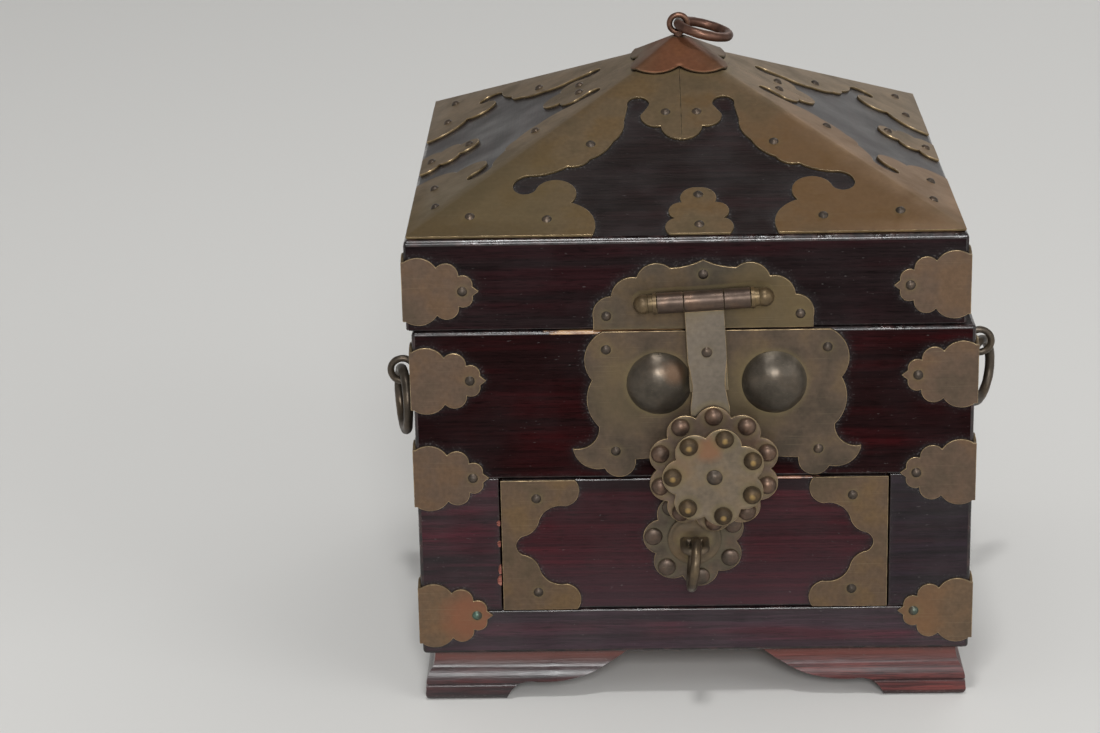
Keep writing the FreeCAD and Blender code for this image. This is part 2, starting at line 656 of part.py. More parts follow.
# Brass on the drawer front: an end plate at each side, and the rosette with the ring pull
drawer_middle = (drawer_bottom + drawer_top) / 2
drawer_face_height = drawer_top - drawer_bottom
end_start = (0.0, -0.5)
end_half = [(0.95, -0.5), ((1.0, -0.41), (0.82, -0.30)), ((0.585, -0.272), (0.478, -0.184)),
            ((0.396, -0.106), (0.264, -0.071)), ((0.205, -0.04), (0.182, 0.0))]
end_steps = with_mirror(end_start, end_half, (1, -1))
end_face = flat_face(end_start, end_steps, drawer_plate_width, drawer_face_height)
end_plate = upright(end_face.extrude(V(0, 0, sheet)), -drawer_half, front, drawer_middle)
nail_rise = drawer_face_height / 2 - drawer_nail_edge
end_spots = [V(-drawer_half + drawer_nail_reach, front - sheet, drawer_middle + sign * nail_rise)
             for sign in (-1, 1)]
end_plate = pierced(end_plate, end_spots, -BACK)
nodes["drawer_plates"] = Part.makeCompound([end_plate, end_plate.mirror(V(0, 0, 0), RIGHT)])
drawer_spots = end_spots + [V(-spot.x, spot.y, spot.z) for spot in end_spots]

pull_level = drawer_middle + drawer_rosette_rise
shank_hole = Part.makeCylinder(post_radius + hole_clearance, boss_height)
flower = flower_face(small_petals, small_rosette_radius, small_rosette_turn).extrude(V(0, 0, sheet))
flower_studs = [moved(dome(stud_radius, drawer_stud_height), spot.x, spot.y, sheet)
                for spot in flower_spots(small_petals, small_rosette_radius, small_rosette_turn)]
flower_nail = V(-0.72 * small_rosette_radius, 0.12 * small_rosette_radius, sheet)
flower = pierced(fused([flower] + flower_studs).cut(shank_hole), [flower_nail], UP)
nodes["drawer_rosette"] = upright(flower, 0, front, pull_level)
pull_boss = dome(pull_boss_radius, pull_boss_height).cut(shank_hole)
nodes["drawer_pull_boss"] = upright(pull_boss, 0, front - sheet, pull_level)
nodes["drawer_nails"] = Part.makeCompound([nail(spot, -BACK) for spot in drawer_spots])

# The pull's eye is a flat loop of wire that lies level, and the ring hangs over its front end
eye_base = sheet + pull_boss_height
bend_level = pull_eye_reach - pull_eye_half_width
bend = ring_shape(V(0, 0, bend_level), BACK, pull_eye_half_width, pull_eye_wire)
loop = [bend.common(block(-box_width, box_width, -box_depth, box_depth, bend_level, bend_level + box_depth))]
for sign in (-1, 1):
    loop.append(rod(V(sign * pull_eye_half_width, 0, eye_base), V(sign * pull_eye_half_width, 0, bend_level),
                    pull_eye_wire))
loop.append(rod(V(-pull_eye_half_width, 0, eye_base), V(pull_eye_half_width, 0, eye_base), pull_eye_wire))
loop.append(rod(V(0, 0, -eye_shank_depth), V(0, 0, eye_base), post_radius))
nodes["drawer_pull_eye"] = upright(fused(loop), 0, front, pull_level)
pull_axis = V(0, front - pull_eye_reach, pull_level)
ring_drop = pull_ring_radius - pull_ring_wire - pull_eye_wire - pull_ring_gap
pull_ring = ring_shape(pull_axis - UP * ring_drop, RIGHT, pull_ring_radius, pull_ring_wire)
nodes["drawer_pull_ring"] = turned(pull_ring, BACK, pull_ring_lean, pull_axis)
ring_axes["drawer_pull_ring"] = (pull_axis, turned(Part.Vertex(-1, 0, 0), BACK, pull_ring_lean).Point)

# Rear hinges: leaves on the back of the carcass and of the lid, with the pins held in the carcass leaves
hinge_axis = V(0, half_depth + hinge_axis_back, carcass_top + lid_gap / 2)
hinge_bore = rod(V(-box_width, 0, 0), V(box_width, 0, 0), hinge_pin_radius + pin_clearance)


def hinge_leaf_shape(back, low, high, stretches, web_low, web_high):
    pieces = [block(-hinge_width / 2, hinge_width / 2, back, back + hinge_leaf, low, high)]
    for x0, x1 in stretches:
        knuckle = rod(V(x0, hinge_axis.y, hinge_axis.z), V(x1, hinge_axis.y, hinge_axis.z), hinge_radius)
        web = block(x0, x1, back, hinge_axis.y, web_low, web_high)
        pieces += [knuckle, web]
    return fused(pieces).cut(moved(hinge_bore, 0, hinge_axis.y, hinge_axis.z))


half_knuckle = hinge_knuckle / 2
outer_stretch = half_knuckle + knuckle_gap
carcass_stretches = [(-hinge_width / 2, -outer_stretch), (outer_stretch, hinge_width / 2)]
carcass_leaf_top = carcass_top - hinge_leaf_clear
carcass_leaf = hinge_leaf_shape(half_depth, carcass_leaf_top - hinge_leaf_height, carcass_leaf_top,
                                carcass_stretches, carcass_leaf_top - hinge_leaf, carcass_top)
lid_leaf_bottom = lid_bottom + hinge_leaf_clear
lid_leaf = hinge_leaf_shape(lid_half_y, lid_leaf_bottom, lid_leaf_bottom + hinge_leaf_height,
                            [(-half_knuckle, half_knuckle)], lid_bottom, lid_leaf_bottom + hinge_leaf)
pin_reach = RIGHT * (hinge_width / 2)
hinge_pin = rod(hinge_axis - pin_reach, hinge_axis + pin_reach, hinge_pin_radius)
nail_level = hinge_leaf_height / 2
carcass_leaf_spots = [V(x, half_depth + hinge_leaf, carcass_leaf_top - nail_level)
                      for x in (-hinge_nail_reach, hinge_nail_reach)]
lid_leaf_spots = [V(x, lid_half_y + hinge_leaf, lid_leaf_bottom + nail_level)
                  for x in (-hinge_nail_reach, hinge_nail_reach)]
hinge_pieces = {"hinge_leaves_carcass": pierced(carcass_leaf, carcass_leaf_spots, BACK),
                "hinge_leaves_lid": pierced(lid_leaf, lid_leaf_spots, BACK), "hinge_pins": hinge_pin}
for name, shape in hinge_pieces.items():
    nodes[name] = Part.makeCompound([moved(shape, sign * hinge_spread, 0, 0) for sign in (-1, 1)])
for sign in (-1, 1):
    carcass_nails += [moved(nail(spot, BACK), sign * hinge_spread, 0, 0) for spot in carcass_leaf_spots]
    lid_nails += [moved(nail(spot, BACK), sign * hinge_spread, 0, 0) for spot in lid_leaf_spots]
nodes["carcass_nails"] = Part.makeCompound(carcass_nails)
nodes["lid_nails"] = Part.makeCompound(lid_nails)

# The origin is the middle of the whole object's box, at the soles of the feet
skew_right = math.sin(math.radians(side_ring_skew_right))
left_reach = side_eye_reach_left + eye_radius + eye_wire
right_reach = side_eye_reach_right + side_ring_radius * skew_right + side_ring_wire
front_reach = pull_eye_reach + pull_ring_radius + pull_ring_wire
back_reach = hinge_axis_back + hinge_radius
shift = V((left_reach - right_reach) / 2, (front_reach - back_reach) / 2, 0)
for name, shape in nodes.items():
    moved(shape, shift.x, shift.y, shift.z).exportStep("parts/" + name + ".step")

print(len(nodes), "nodes, shifted by", shift)
print("lid hinge", hinge_axis + shift)
print("hasp hinge", hasp_axis + shift)
for name, (center, axis) in ring_axes.items():
    print(name, center + shift, axis)
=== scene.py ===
import bpy
import json
import math
from mathutils import Matrix, Vector, kdtree


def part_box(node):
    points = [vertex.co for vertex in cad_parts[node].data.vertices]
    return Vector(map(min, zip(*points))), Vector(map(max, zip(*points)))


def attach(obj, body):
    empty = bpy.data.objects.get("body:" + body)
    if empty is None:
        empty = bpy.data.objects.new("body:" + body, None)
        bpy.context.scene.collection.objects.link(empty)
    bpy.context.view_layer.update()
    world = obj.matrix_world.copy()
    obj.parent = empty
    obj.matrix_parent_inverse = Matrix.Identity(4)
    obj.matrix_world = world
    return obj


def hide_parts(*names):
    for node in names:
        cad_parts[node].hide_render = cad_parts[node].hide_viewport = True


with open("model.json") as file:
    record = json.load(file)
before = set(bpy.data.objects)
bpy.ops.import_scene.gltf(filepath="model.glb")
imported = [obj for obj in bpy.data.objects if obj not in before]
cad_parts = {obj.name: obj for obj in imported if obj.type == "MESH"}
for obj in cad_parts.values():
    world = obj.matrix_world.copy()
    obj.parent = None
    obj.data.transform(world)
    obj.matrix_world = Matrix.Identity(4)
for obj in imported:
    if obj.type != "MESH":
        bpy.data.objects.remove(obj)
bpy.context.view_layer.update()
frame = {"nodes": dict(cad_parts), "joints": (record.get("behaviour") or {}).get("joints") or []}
mm = 0.001
samePlane = 0.02 * mm  # points this near lie on one face
weldDistance = 0.002 * mm
cutTolerance = 0.001 * mm
flatAngle = 0.4  # degrees between faces that count as one
sharpAngle = 35  # degrees at an edge that gets rounded
squareOn = 0.9  # a normal's share along an axis that it faces
scene = bpy.context.scene
print("frame loaded:", len(frame["nodes"]), "nodes")


# Working tools
def linear(hexColour):
    channels = []
    for start in (1, 3, 5):
        value = int(hexColour[start:start + 2], 16) / 255
        channels.append(value / 12.92 if value <= 0.04045 else ((value + 0.055) / 1.055) ** 2.4)
    return (*channels, 1.0)


def addNode(tree, kind, inputs=None, stops=None, **settings):
    made = tree.nodes.new(kind)
    for name, value in settings.items():
        setattr(made, name, value)
    for name, value in (inputs or {}).items():
        if isinstance(value, bpy.types.NodeSocket):
            tree.links.new(value, made.inputs[name])
        else:
            made.inputs[name].default_value = value
    for index, (place, colour) in enumerate(stops or []):
        band = made.color_ramp.elements
        step = band[index] if index < len(band) else band.new(place)
        step.position = place
        step.color = linear(colour)
    return made


def deselectAll():
    if bpy.context.object and bpy.context.object.mode != "OBJECT":
        bpy.ops.object.mode_set(mode="OBJECT")
    bpy.ops.object.select_all(action="DESELECT")


def pick(piece):
    deselectAll()
    piece.select_set(True)
    bpy.context.view_layer.objects.active = piece


def applyModifier(piece, kind, **settings):
    pick(piece)
    made = piece.modifiers.new(kind.lower(), kind)
    for name, value in settings.items():
        setattr(made, name, value)
    bpy.ops.object.modifier_apply(modifier=made.name)


def copyNode(node, name, flat=True):
    mesh = frame["nodes"][node].data.copy()
    mesh.materials.clear()
    piece = bpy.data.objects.new(name, mesh)
    scene.collection.objects.link(piece)
    pick(piece)
    bpy.ops.mesh.customdata_custom_splitnormals_clear()
    bpy.ops.object.mode_set(mode="EDIT")
    bpy.ops.mesh.select_all(action="SELECT")
    bpy.ops.mesh.remove_doubles(threshold=weldDistance)
    if flat:
        bpy.ops.mesh.dissolve_limited(angle_limit=math.radians(flatAngle))
    bpy.ops.object.mode_set(mode="OBJECT")
    return piece


def editEdges(piece, wanted):
    pick(piece)
    bpy.ops.object.mode_set(mode="EDIT")
    bpy.ops.mesh.select_mode(type="EDGE")
    bpy.ops.mesh.select_all(action="DESELECT")
    bpy.ops.object.mode_set(mode="OBJECT")
    points = piece.data.vertices
    for edge in piece.data.edges:
        edge.select = wanted([points[index].co for index in edge.vertices])
    bpy.ops.object.mode_set(mode="EDIT")


def selectPoints(piece, wanted):
    pick(piece)
    bpy.ops.object.mode_set(mode="EDIT")
    bpy.ops.mesh.select_mode(type="VERT")
    bpy.ops.mesh.select_all(action="DESELECT")
    bpy.ops.object.mode_set(mode="OBJECT")
    for point in piece.data.vertices:
        point.select = wanted(point)
    bpy.ops.object.mode_set(mode="EDIT")


def roundEdges(piece, width, segments, overAngle=sharpAngle, clamp=False):
    applyModifier(piece, "BEVEL", width=width, segments=segments, limit_method="ANGLE",
                  use_clamp_overlap=clamp, angle_limit=math.radians(overAngle),
                  material=len(piece.data.materials) - 1)


# Nearly all of the skin is pressed in, so that a piece stays inside its CAD shape
dentLevel = 0.85


def dent(piece, size, depth):
    clouds = bpy.data.textures.new(piece.name + "Dents", "CLOUDS")
    clouds.noise_scale = size
    applyModifier(piece, "DISPLACE", texture=clouds, texture_coords="LOCAL", strength=depth,
                  mid_level=dentLevel)


def dress(piece, *materials):
    piece.data.materials.clear()
    for material in materials:
        piece.data.materials.append(material)


def finishPiece(piece, body, slot, *nodes, smooth=40):
    pick(piece)
    bpy.ops.object.shade_smooth_by_angle(angle=math.radians(smooth))
    applyModifier(piece, "WEIGHTED_NORMAL", weight=50, keep_sharp=True)
    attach(piece, body)
    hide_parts(*nodes)


# Camera at the photograph's viewing angle
cameraView = dict(place=(-15.2, -614.55, 267.1), yaw=-1.47, pitch=19.01, roll=-1.27, focalPixels=2991.0,
                  imageWidth=1100.0, sensor=36.0)


def addCamera(view):
    yaw, pitch, roll = (math.radians(view[name]) for name in ("yaw", "pitch", "roll"))
    forward = Vector((math.sin(yaw) * math.cos(pitch), math.cos(yaw) * math.cos(pitch), -math.sin(pitch)))
    right = Vector((math.cos(yaw), -math.sin(yaw), 0.0))
    up = right.cross(forward)
    turnedRight = right * math.cos(roll) + up * math.sin(roll)
    turnedUp = up * math.cos(roll) - right * math.sin(roll)
    data = bpy.data.cameras.new("photoCamera")
    data.sensor_width = view["sensor"]
    data.lens = view["focalPixels"] * view["sensor"] / view["imageWidth"]
    data.clip_start = 0.01
    camera = bpy.data.objects.new("photoCamera", data)
    scene.collection.objects.link(camera)
    turn = Matrix((turnedRight, turnedUp, -forward)).transposed().to_4x4()
    camera.matrix_world = Matrix.Translation(Vector(view["place"]) * mm) @ turn
    scene.camera = camera


addCamera(cameraView)
print("camera set")


# Wood finishes
def newMaterial(name):
    material = bpy.data.materials.new(name)
    material.use_nodes = True
    tree = material.node_tree
    place = addNode(tree, "ShaderNodeTexCoord").outputs["Object"]
    return material, tree, tree.nodes["Principled BSDF"], place


# Rosewood planed flat, stained and varnished: near black with dim red veins in some stretches of the
# board, fine growth lines, short pores, pale flecks of dust, a crust of old wax beside the plates, and a
# thin uneven gloss. A band is a tint that comes in between two heights. The grain's sizes are run and
# width. Pores are finer on the box, and are drawn coarse enough to show. All sizes are in mm.
plainGrain = dict(streak=(34, 2.0), vein=(60, 3.4), line=(20, 0.55), pore=(3.0, 0.25), fleck=(1.1, 0.45))
drawerGrain = dict(plainGrain, streak=(70, 1.7), vein=(90, 2.6), line=(60, 0.5))
footGrain = dict(plainGrain, streak=(22, 1.3), vein=(26, 2.0), line=(12, 0.5))
rosewoodLook = dict(black="#170a0a", brown="#1f0e0f", red="#3b0a0e", veins=0.45, lines=0.45, haze=0.08,
                    wax=0.6, rough=(0.3, 0.5), shine=(0.03, 0.0), gloss=0.12, bands=(), grain=plainGrain,
                    region=24.0, patch=11.0, pores=0.7, hazeTint="#3c3638", waxTint="#272526",
                    waxReach=1.8, crumb=0.45, dust=0.3, dustTint="#74706e")
lidWood = dict(rosewoodLook, black="#160d0e", brown="#211718", red="#380e15", veins=0.32,
               shine=(0.05, 0.01))
roofWood = dict(rosewoodLook, black="#191211", brown="#231a19", red="#2e1216", veins=0.35,
                shine=(0.3, 0.1), haze=0.12, wax=0.8)
# On the drawer front: darker along the top, and a grey painted reflection growing towards the bottom
drawerDarkTopAndPaintedVeil = (dict(none=45.6, full=46.8, tint="#10080a", strength=0.8, ragged=0.8),
               dict(none=36.0, full=21.0, tint="#382a2f", strength=0.65, ragged=7.0))
drawerWood = dict(rosewoodLook, black="#2a0f14", brown="#38151b", red="#4c1019", veins=0.5, lines=0.5,
                  shine=(0.16, 0.05), bands=drawerDarkTopAndPaintedVeil, haze=0.12, wax=0.5, grain=drawerGrain)
stileWood = dict(rosewoodLook, black="#1b0c11", brown="#331a21", red="#481420", veins=0.7, lines=0.55,
                 shine=(0.24, 0.1), haze=0.2)
rightStileWood = dict(stileWood, black="#120b0e", brown="#231720", red="#301319", veins=0.5)
railWood = dict(stileWood, black="#271920", brown="#37252e", red="#4a1a25", veins=0.75, shine=(0.36, 0.12))
footBands = (dict(none=7.0, full=9.4, tint="#6e3a30", strength=0.8, ragged=3.0),)
footWood = dict(rosewoodLook, black="#1c0f12", brown="#30171a", red="#551f20", veins=0.8, lines=0.6,
                shine=(0.45, 0.3), rough=(0.26, 0.42), gloss=0.3, bands=footBands, haze=0.25,
                grain=footGrain)
rightFootWood = dict(footWood, black="#351a1c", brown="#582b2a", red="#743630", lines=0.75,
                     shine=(0.35, 0.08), rough=(0.4, 0.55))


def alongGrain(tree, place, along, sizes=plainGrain):
    stretched = {}
    for part, (run, width) in sizes.items():
        scales = [1 / (width * mm)] * 3
        scales["XYZ".index(along)] = 1 / (run * mm)
        stretched[part] = addNode(tree, "ShaderNodeMapping", {"Vector": place, "Scale": scales}).outputs[0]
    return stretched


def rosewood(name, look, along):
    material, tree, shader, place = newMaterial(name)
    grain = alongGrain(tree, place, along, look["grain"])
    streak = addNode(tree, "ShaderNodeTexNoise", {"Vector": grain["streak"], "Scale": 1.0, "Detail": 6.0,
                                                  "Roughness": 0.65, "Distortion": 0.3})
    tint = addNode(tree, "ShaderNodeValToRGB", {"Fac": streak.outputs["Fac"]},
                   stops=[(0.36, look["black"]), (0.64, look["brown"])])
    vein = addNode(tree, "ShaderNodeTexNoise", {"Vector": grain["vein"], "Scale": 1.0, "Detail": 4.0})
    veinShare = addNode(tree, "ShaderNodeMapRange", {
        "Value": vein.outputs["Fac"], "From Min": 0.44, "From Max": 0.66, "To Max": look["veins"]})
    region = addNode(tree, "ShaderNodeTexNoise", {
        "Vector": place, "Scale": 1 / (look["region"] * mm), "Detail": 2.0})
    regionShare = addNode(tree, "ShaderNodeMapRange", {"Value": region.outputs["Fac"], "From Min": 0.34,
                                                       "From Max": 0.56})
    redness = addNode(tree, "ShaderNodeMath", {0: veinShare.outputs[0], 1: regionShare.outputs[0]},
                      operation="MULTIPLY")
    veined = addNode(tree, "ShaderNodeMix", {
        0: redness.outputs[0], 6: tint.outputs[0], 7: linear(look["red"])}, data_type="RGBA")
    line = addNode(tree, "ShaderNodeTexNoise", {"Vector": grain["line"], "Scale": 1.0, "Detail": 3.0})
    lineShade = addNode(tree, "ShaderNodeMapRange", {
        "Value": line.outputs["Fac"], "From Min": 0.38, "From Max": 0.58, "To Min": 0.35, "To Max": 1.1})
    lined = addNode(tree, "ShaderNodeMix", {0: look["lines"], 6: veined.outputs[2], 7: lineShade.outputs[0]},
                    data_type="RGBA", blend_type="MULTIPLY")
    pore = addNode(tree, "ShaderNodeTexNoise", {"Vector": grain["pore"], "Scale": 1.0, "Detail": 2.0})
    poreShade = addNode(tree, "ShaderNodeMapRange", {
        "Value": pore.outputs["Fac"], "From Min": 0.32, "From Max": 0.46, "To Min": 0.35, "To Max": 1.0})
    pored = addNode(tree, "ShaderNodeMix", {0: look["pores"], 6: lined.outputs[2], 7: poreShade.outputs[0]},
                    data_type="RGBA", blend_type="MULTIPLY")
    colour = pored.outputs[2]
    patch = addNode(tree, "ShaderNodeTexNoise", {
        "Vector": place, "Scale": 1 / (look["patch"] * mm), "Detail": 5.0})
    if look["bands"]:
        height = addNode(tree, "ShaderNodeSeparateXYZ", {"Vector": place}).outputs["Z"]
    for band in look["bands"]:
        ragged = addNode(tree, "ShaderNodeMath", {
            0: patch.outputs["Fac"], 1: band["ragged"] * mm, 2: height}, operation="MULTIPLY_ADD")
        middle = band["ragged"] / 2
        inside = addNode(tree, "ShaderNodeMapRange", {
            "Value": ragged.outputs[0], "From Min": (band["none"] + middle) * mm,
            "From Max": (band["full"] + middle) * mm, "To Max": band["strength"]})
        mixed = addNode(tree, "ShaderNodeMix", {0: inside.outputs[0], 6: colour, 7: linear(band["tint"])},
                        data_type="RGBA")
        colour = mixed.outputs[2]
    dull = addNode(tree, "ShaderNodeMapRange", {
        "Value": patch.outputs["Fac"], "From Min": 0.45, "From Max": 0.7, "To Max": look["haze"]})
    hazy = addNode(tree, "ShaderNodeMix", {
        0: dull.outputs[0], 6: colour, 7: linear(look["hazeTint"])}, data_type="RGBA")
    fleck = addNode(tree, "ShaderNodeTexNoise", {"Vector": grain["fleck"], "Scale": 1.0, "Detail": 2.0})
    dust = addNode(tree, "ShaderNodeMapRange", {
        "Value": fleck.outputs["Fac"], "From Min": 0.71, "From Max": 0.82, "To Max": look["dust"]})
    hollow = addNode(tree, "ShaderNodeAmbientOcclusion", {"Distance": look["waxReach"] * mm}, samples=8)
    crust = addNode(tree, "ShaderNodeMapRange", {
        "Value": hollow.outputs["AO"], "From Min": 0.97, "From Max": 0.72, "To Max": look["wax"]})
    waxy = addNode(tree, "ShaderNodeMix", {
        0: crust.outputs[0], 6: hazy.outputs[2], 7: linear(look["waxTint"])}, data_type="RGBA")
    crumb = addNode(tree, "ShaderNodeTexNoise", {
        "Vector": place, "Scale": 1 / (look["crumb"] * mm), "Detail": 2.0})
    crumbs = addNode(tree, "ShaderNodeMapRange", {
        "Value": crumb.outputs["Fac"], "From Min": 0.56, "From Max": 0.72, "To Max": 0.6})
    pale = addNode(tree, "ShaderNodeMath", {0: crumbs.outputs[0], 1: crust.outputs[0], 2: dust.outputs[0]},
                   operation="MULTIPLY_ADD", use_clamp=True)
    dusty = addNode(tree, "ShaderNodeMix", {
        0: pale.outputs[0], 6: waxy.outputs[2], 7: linear(look["dustTint"])}, data_type="RGBA")
    tree.links.new(dusty.outputs[2], shader.inputs["Base Color"])
    rough = addNode(tree, "ShaderNodeMapRange", {
        "Value": patch.outputs["Fac"], "From Min": 0.35, "From Max": 0.65, "To Min": look["rough"][0],
        "To Max": look["rough"][1]})
    tree.links.new(rough.outputs[0], shader.inputs["Roughness"])
    waves = addNode(tree, "ShaderNodeBump", {
        "Height": line.outputs["Fac"], "Strength": 0.35, "Distance": 0.15 * mm})
    pits = addNode(tree, "ShaderNodeBump", {
        "Height": pore.outputs["Fac"], "Strength": 0.35, "Distance": 0.1 * mm, "Normal": waves.outputs[0]})
    tree.links.new(pits.outputs[0], shader.inputs["Normal"])
    shader.inputs["Specular IOR Level"].default_value = look["shine"][0]
    shader.inputs["Coat Weight"].default_value = look["shine"][1]
    shader.inputs["Coat Roughness"].default_value = look["gloss"]
    return material


# The same varnish where hands rub it: the rounded edges are glossy, thin and brown, with bare pale wood
# where a stretch has been knocked off. The bare run is given along the edge and above a height, in mm.
wornEdge = dict(dark="#100809", rubbed="#33201f", size=2.2, bare=None, ragged=12.0, handled=7.0,
                rough=(0.2, 0.6), shine=(0.4, 0.42), gloss=0.18)
carcassTopWear = dict(wornEdge,
                      bare=dict(start=-30, end=-4, above=78.0, colour="#a58058", fibre="#6e4a38"))
drawerTopWear = dict(wornEdge, bare=dict(start=15, end=23, above=47.0, colour="#a8785e", fibre="#6e4a38"))
footWear = dict(wornEdge, dark="#2a1514", rubbed="#7a4030", size=3.0, rough=(0.36, 0.6), shine=(0.4, 0.06))
rightFootWear = dict(footWear, dark="#452422", rubbed="#85493a")


def wornVarnish(name, look, along):
    material, tree, shader, place = newMaterial(name)
    grain = alongGrain(tree, place, along)
    rub = addNode(tree, "ShaderNodeTexNoise", {
        "Vector": place, "Scale": 1 / (look["size"] * mm), "Detail": 5.0})
    thin = addNode(tree, "ShaderNodeValToRGB", {"Fac": rub.outputs["Fac"]},
                   stops=[(0.44, look["dark"]), (0.68, look["rubbed"])])
    colour = thin.outputs[0]
    bare = look["bare"]
    if bare:
        axes = addNode(tree, "ShaderNodeSeparateXYZ", {"Vector": place})
        middle, half = (bare["start"] + bare["end"]) / 2 * mm, (bare["end"] - bare["start"]) / 2 * mm
        away = addNode(tree, "ShaderNodeMath", {0: axes.outputs[along], 1: middle}, operation="SUBTRACT")
        reach = addNode(tree, "ShaderNodeMath", {0: away.outputs[0]}, operation="ABSOLUTE")
        ragged = addNode(tree, "ShaderNodeMath", {
            0: rub.outputs["Fac"], 1: look["ragged"] * mm, 2: reach.outputs[0]}, operation="MULTIPLY_ADD")
        edge = half + look["ragged"] / 2 * mm
        knocked = addNode(tree, "ShaderNodeMapRange", {"Value": ragged.outputs[0], "From Min": edge,
                                                       "From Max": edge - 2 * mm})
        upper = addNode(tree, "ShaderNodeMath", {
            0: axes.outputs["Z"], 1: bare["above"] * mm}, operation="GREATER_THAN")
        shown = addNode(tree, "ShaderNodeMath", {
            0: knocked.outputs[0], 1: upper.outputs[0]}, operation="MULTIPLY")
        fibre = addNode(tree, "ShaderNodeTexNoise", {"Vector": grain["pore"], "Scale": 1.0, "Detail": 2.0})
        pale = addNode(tree, "ShaderNodeValToRGB", {"Fac": fibre.outputs["Fac"]},
                       stops=[(0.35, bare["fibre"]), (0.6, bare["colour"])])
        mixed = addNode(tree, "ShaderNodeMix", {
            0: shown.outputs[0], 6: colour, 7: pale.outputs[0]}, data_type="RGBA")
        colour = mixed.outputs[2]
    tree.links.new(colour, shader.inputs["Base Color"])
    bump = addNode(tree, "ShaderNodeBump", {
        "Height": rub.outputs["Fac"], "Strength": 0.9, "Distance": 0.4 * mm})
    tree.links.new(bump.outputs[0], shader.inputs["Normal"])
    handled = addNode(tree, "ShaderNodeTexNoise", {
        "Vector": place, "Scale": 1 / (look["handled"] * mm), "Detail": 4.0})
    rough = addNode(tree, "ShaderNodeMapRange", {
        "Value": handled.outputs["Fac"], "From Min": 0.38, "From Max": 0.62, "To Min": look["rough"][0],
        "To Max": look["rough"][1]})
    tree.links.new(rough.outputs[0], shader.inputs["Roughness"])
    shader.inputs["Specular IOR Level"].default_value = look["shine"][0]
    shader.inputs["Coat Weight"].default_value = look["shine"][1]
    shader.inputs["Coat Roughness"].default_value = look["gloss"]
    return material


# Bare wood inside and in the chips: sawn, dry and matt, pinkish tan with darker pores.
bareWood = dict(dark="#5b3a2c", base="#8a5f48", pale="#a57a5e")
chipWood = dict(dark="#673329", base="#8c5145", pale="#a0705c")


def sawnWood(name, look, along):
    material, tree, shader, place = newMaterial(name)
    grain = alongGrain(tree, place, along)
    streak = addNode(tree, "ShaderNodeTexNoise", {"Vector": grain["line"], "Scale": 1.0, "Detail": 4.0})
    tint = addNode(tree, "ShaderNodeValToRGB", {"Fac": streak.outputs["Fac"]},
                   stops=[(0.36, look["dark"]), (0.52, look["base"]), (0.68, look["pale"])])
    tree.links.new(tint.outputs[0], shader.inputs["Base Color"])
    pore = addNode(tree, "ShaderNodeTexNoise", {"Vector": grain["pore"], "Scale": 1.0, "Detail": 3.0})
    rough = addNode(tree, "ShaderNodeMapRange", {
        "Value": pore.outputs["Fac"], "To Min": 0.6, "To Max": 0.85})
    tree.links.new(rough.outputs[0], shader.inputs["Roughness"])
    bump = addNode(tree, "ShaderNodeBump", {
        "Height": pore.outputs["Fac"], "Strength": 0.5, "Distance": 0.15 * mm})
    tree.links.new(bump.outputs[0], shader.inputs["Normal"])
    return material


upperVarnish = {along: rosewood("varnishedRosewood" + along, rosewoodLook, along) for along in "XY"}
lidVarnish = {along: rosewood("varnishedRosewoodLid" + along, lidWood, along) for along in "XY"}
roofVarnish = {along: rosewood("varnishedRosewoodRoof" + along, roofWood, along) for along in "XY"}
drawerVarnish = rosewood("redRosewoodDrawer", drawerWood, "X")
stileVarnish = rosewood("redRosewoodStile", stileWood, "X")
rightStileVarnish = rosewood("darkRosewoodStile", rightStileWood, "X")
railVarnish = rosewood("greyRosewoodRail", railWood, "X")
footVarnish = rosewood("redRosewoodFoot", footWood, "X")
rightFootVarnish = rosewood("wornRosewoodFoot", rightFootWood, "X")
rubbedVarnish = {along: wornVarnish("rubbedVarnish" + along, wornEdge, along) for along in "XY"}
carcassTopEdge = wornVarnish("rubbedVarnishCarcassTop", carcassTopWear, "X")
drawerTopEdge = wornVarnish("rubbedVarnishDrawerTop", drawerTopWear, "X")
footEdge = wornVarnish("rubbedVarnishFoot", footWear, "X")
rightFootEdge = wornVarnish("wornVarnishFoot", rightFootWear, "X")
insideWood = {along: sawnWood("sawnWood" + along, bareWood, along) for along in "XY"}
chippedWood = sawnWood("chippedWood", chipWood, "X")
print("wood finishes made")


# Metals
# Sheet brass cut by hand and never polished: brown and olive tarnish in soft slow clouds, fine scratches,
# shallow dents, a paler ring round each nail, and a thin dark line where it meets the sheet that is grime
# and painted shade together, darkest where the surface is hemmed in. Scratches are drawn coarse enough to
# show. Sizes in mm.
brassLook = dict(dull="#5f5142", base="#685847", warm="#6f5c46", dark="#1d1712", ring="#7a6d4c", halo=0.5,
                 scratch="#8c7e64", metal=0.72, rough=(0.44, 0.58), blotch=9.0, dirtAndShade=0.9, dirtAndShadeReach=1.5,
                 mottle=0.9, hair=(9.0, 0.16), dip=5.5, spots=(), tip=None)
roofSpots = (dict(place=(38, -30, 105), reach=40, tint="#7c5836", strength=0.5),
             dict(place=(-46, -42, 102), reach=26, tint="#6c5e40", strength=0.5))
roofLook = dict(brassLook, dull="#6a5a43", base="#77644b", warm="#7d6647", ring="#837350", spots=roofSpots)
cornerLook = dict(brassLook, dull="#594b3e", base="#635143", warm="#6a5441")
lowerSpots = (dict(place=(-46.6, -52, 19.4), reach=6.5, tint="#855640", strength=0.75),
              dict(place=(44.4, -52, 19.4), reach=6.0, tint="#7c5a3e", strength=0.5))
lowerLook = dict(cornerLook, dull="#615141", base="#6b5744", warm="#745b44", spots=lowerSpots)
lockSpots = (dict(place=(-14.5, -52, 67.2), reach=9.5, tint="#655840", strength=0.5),
             dict(place=(10.7, -52, 67.2), reach=9.5, tint="#675b40", strength=0.5))
lockLook = dict(brassLook, dull="#4c4237", base="#5b4d40", warm="#675642", spots=lockSpots)
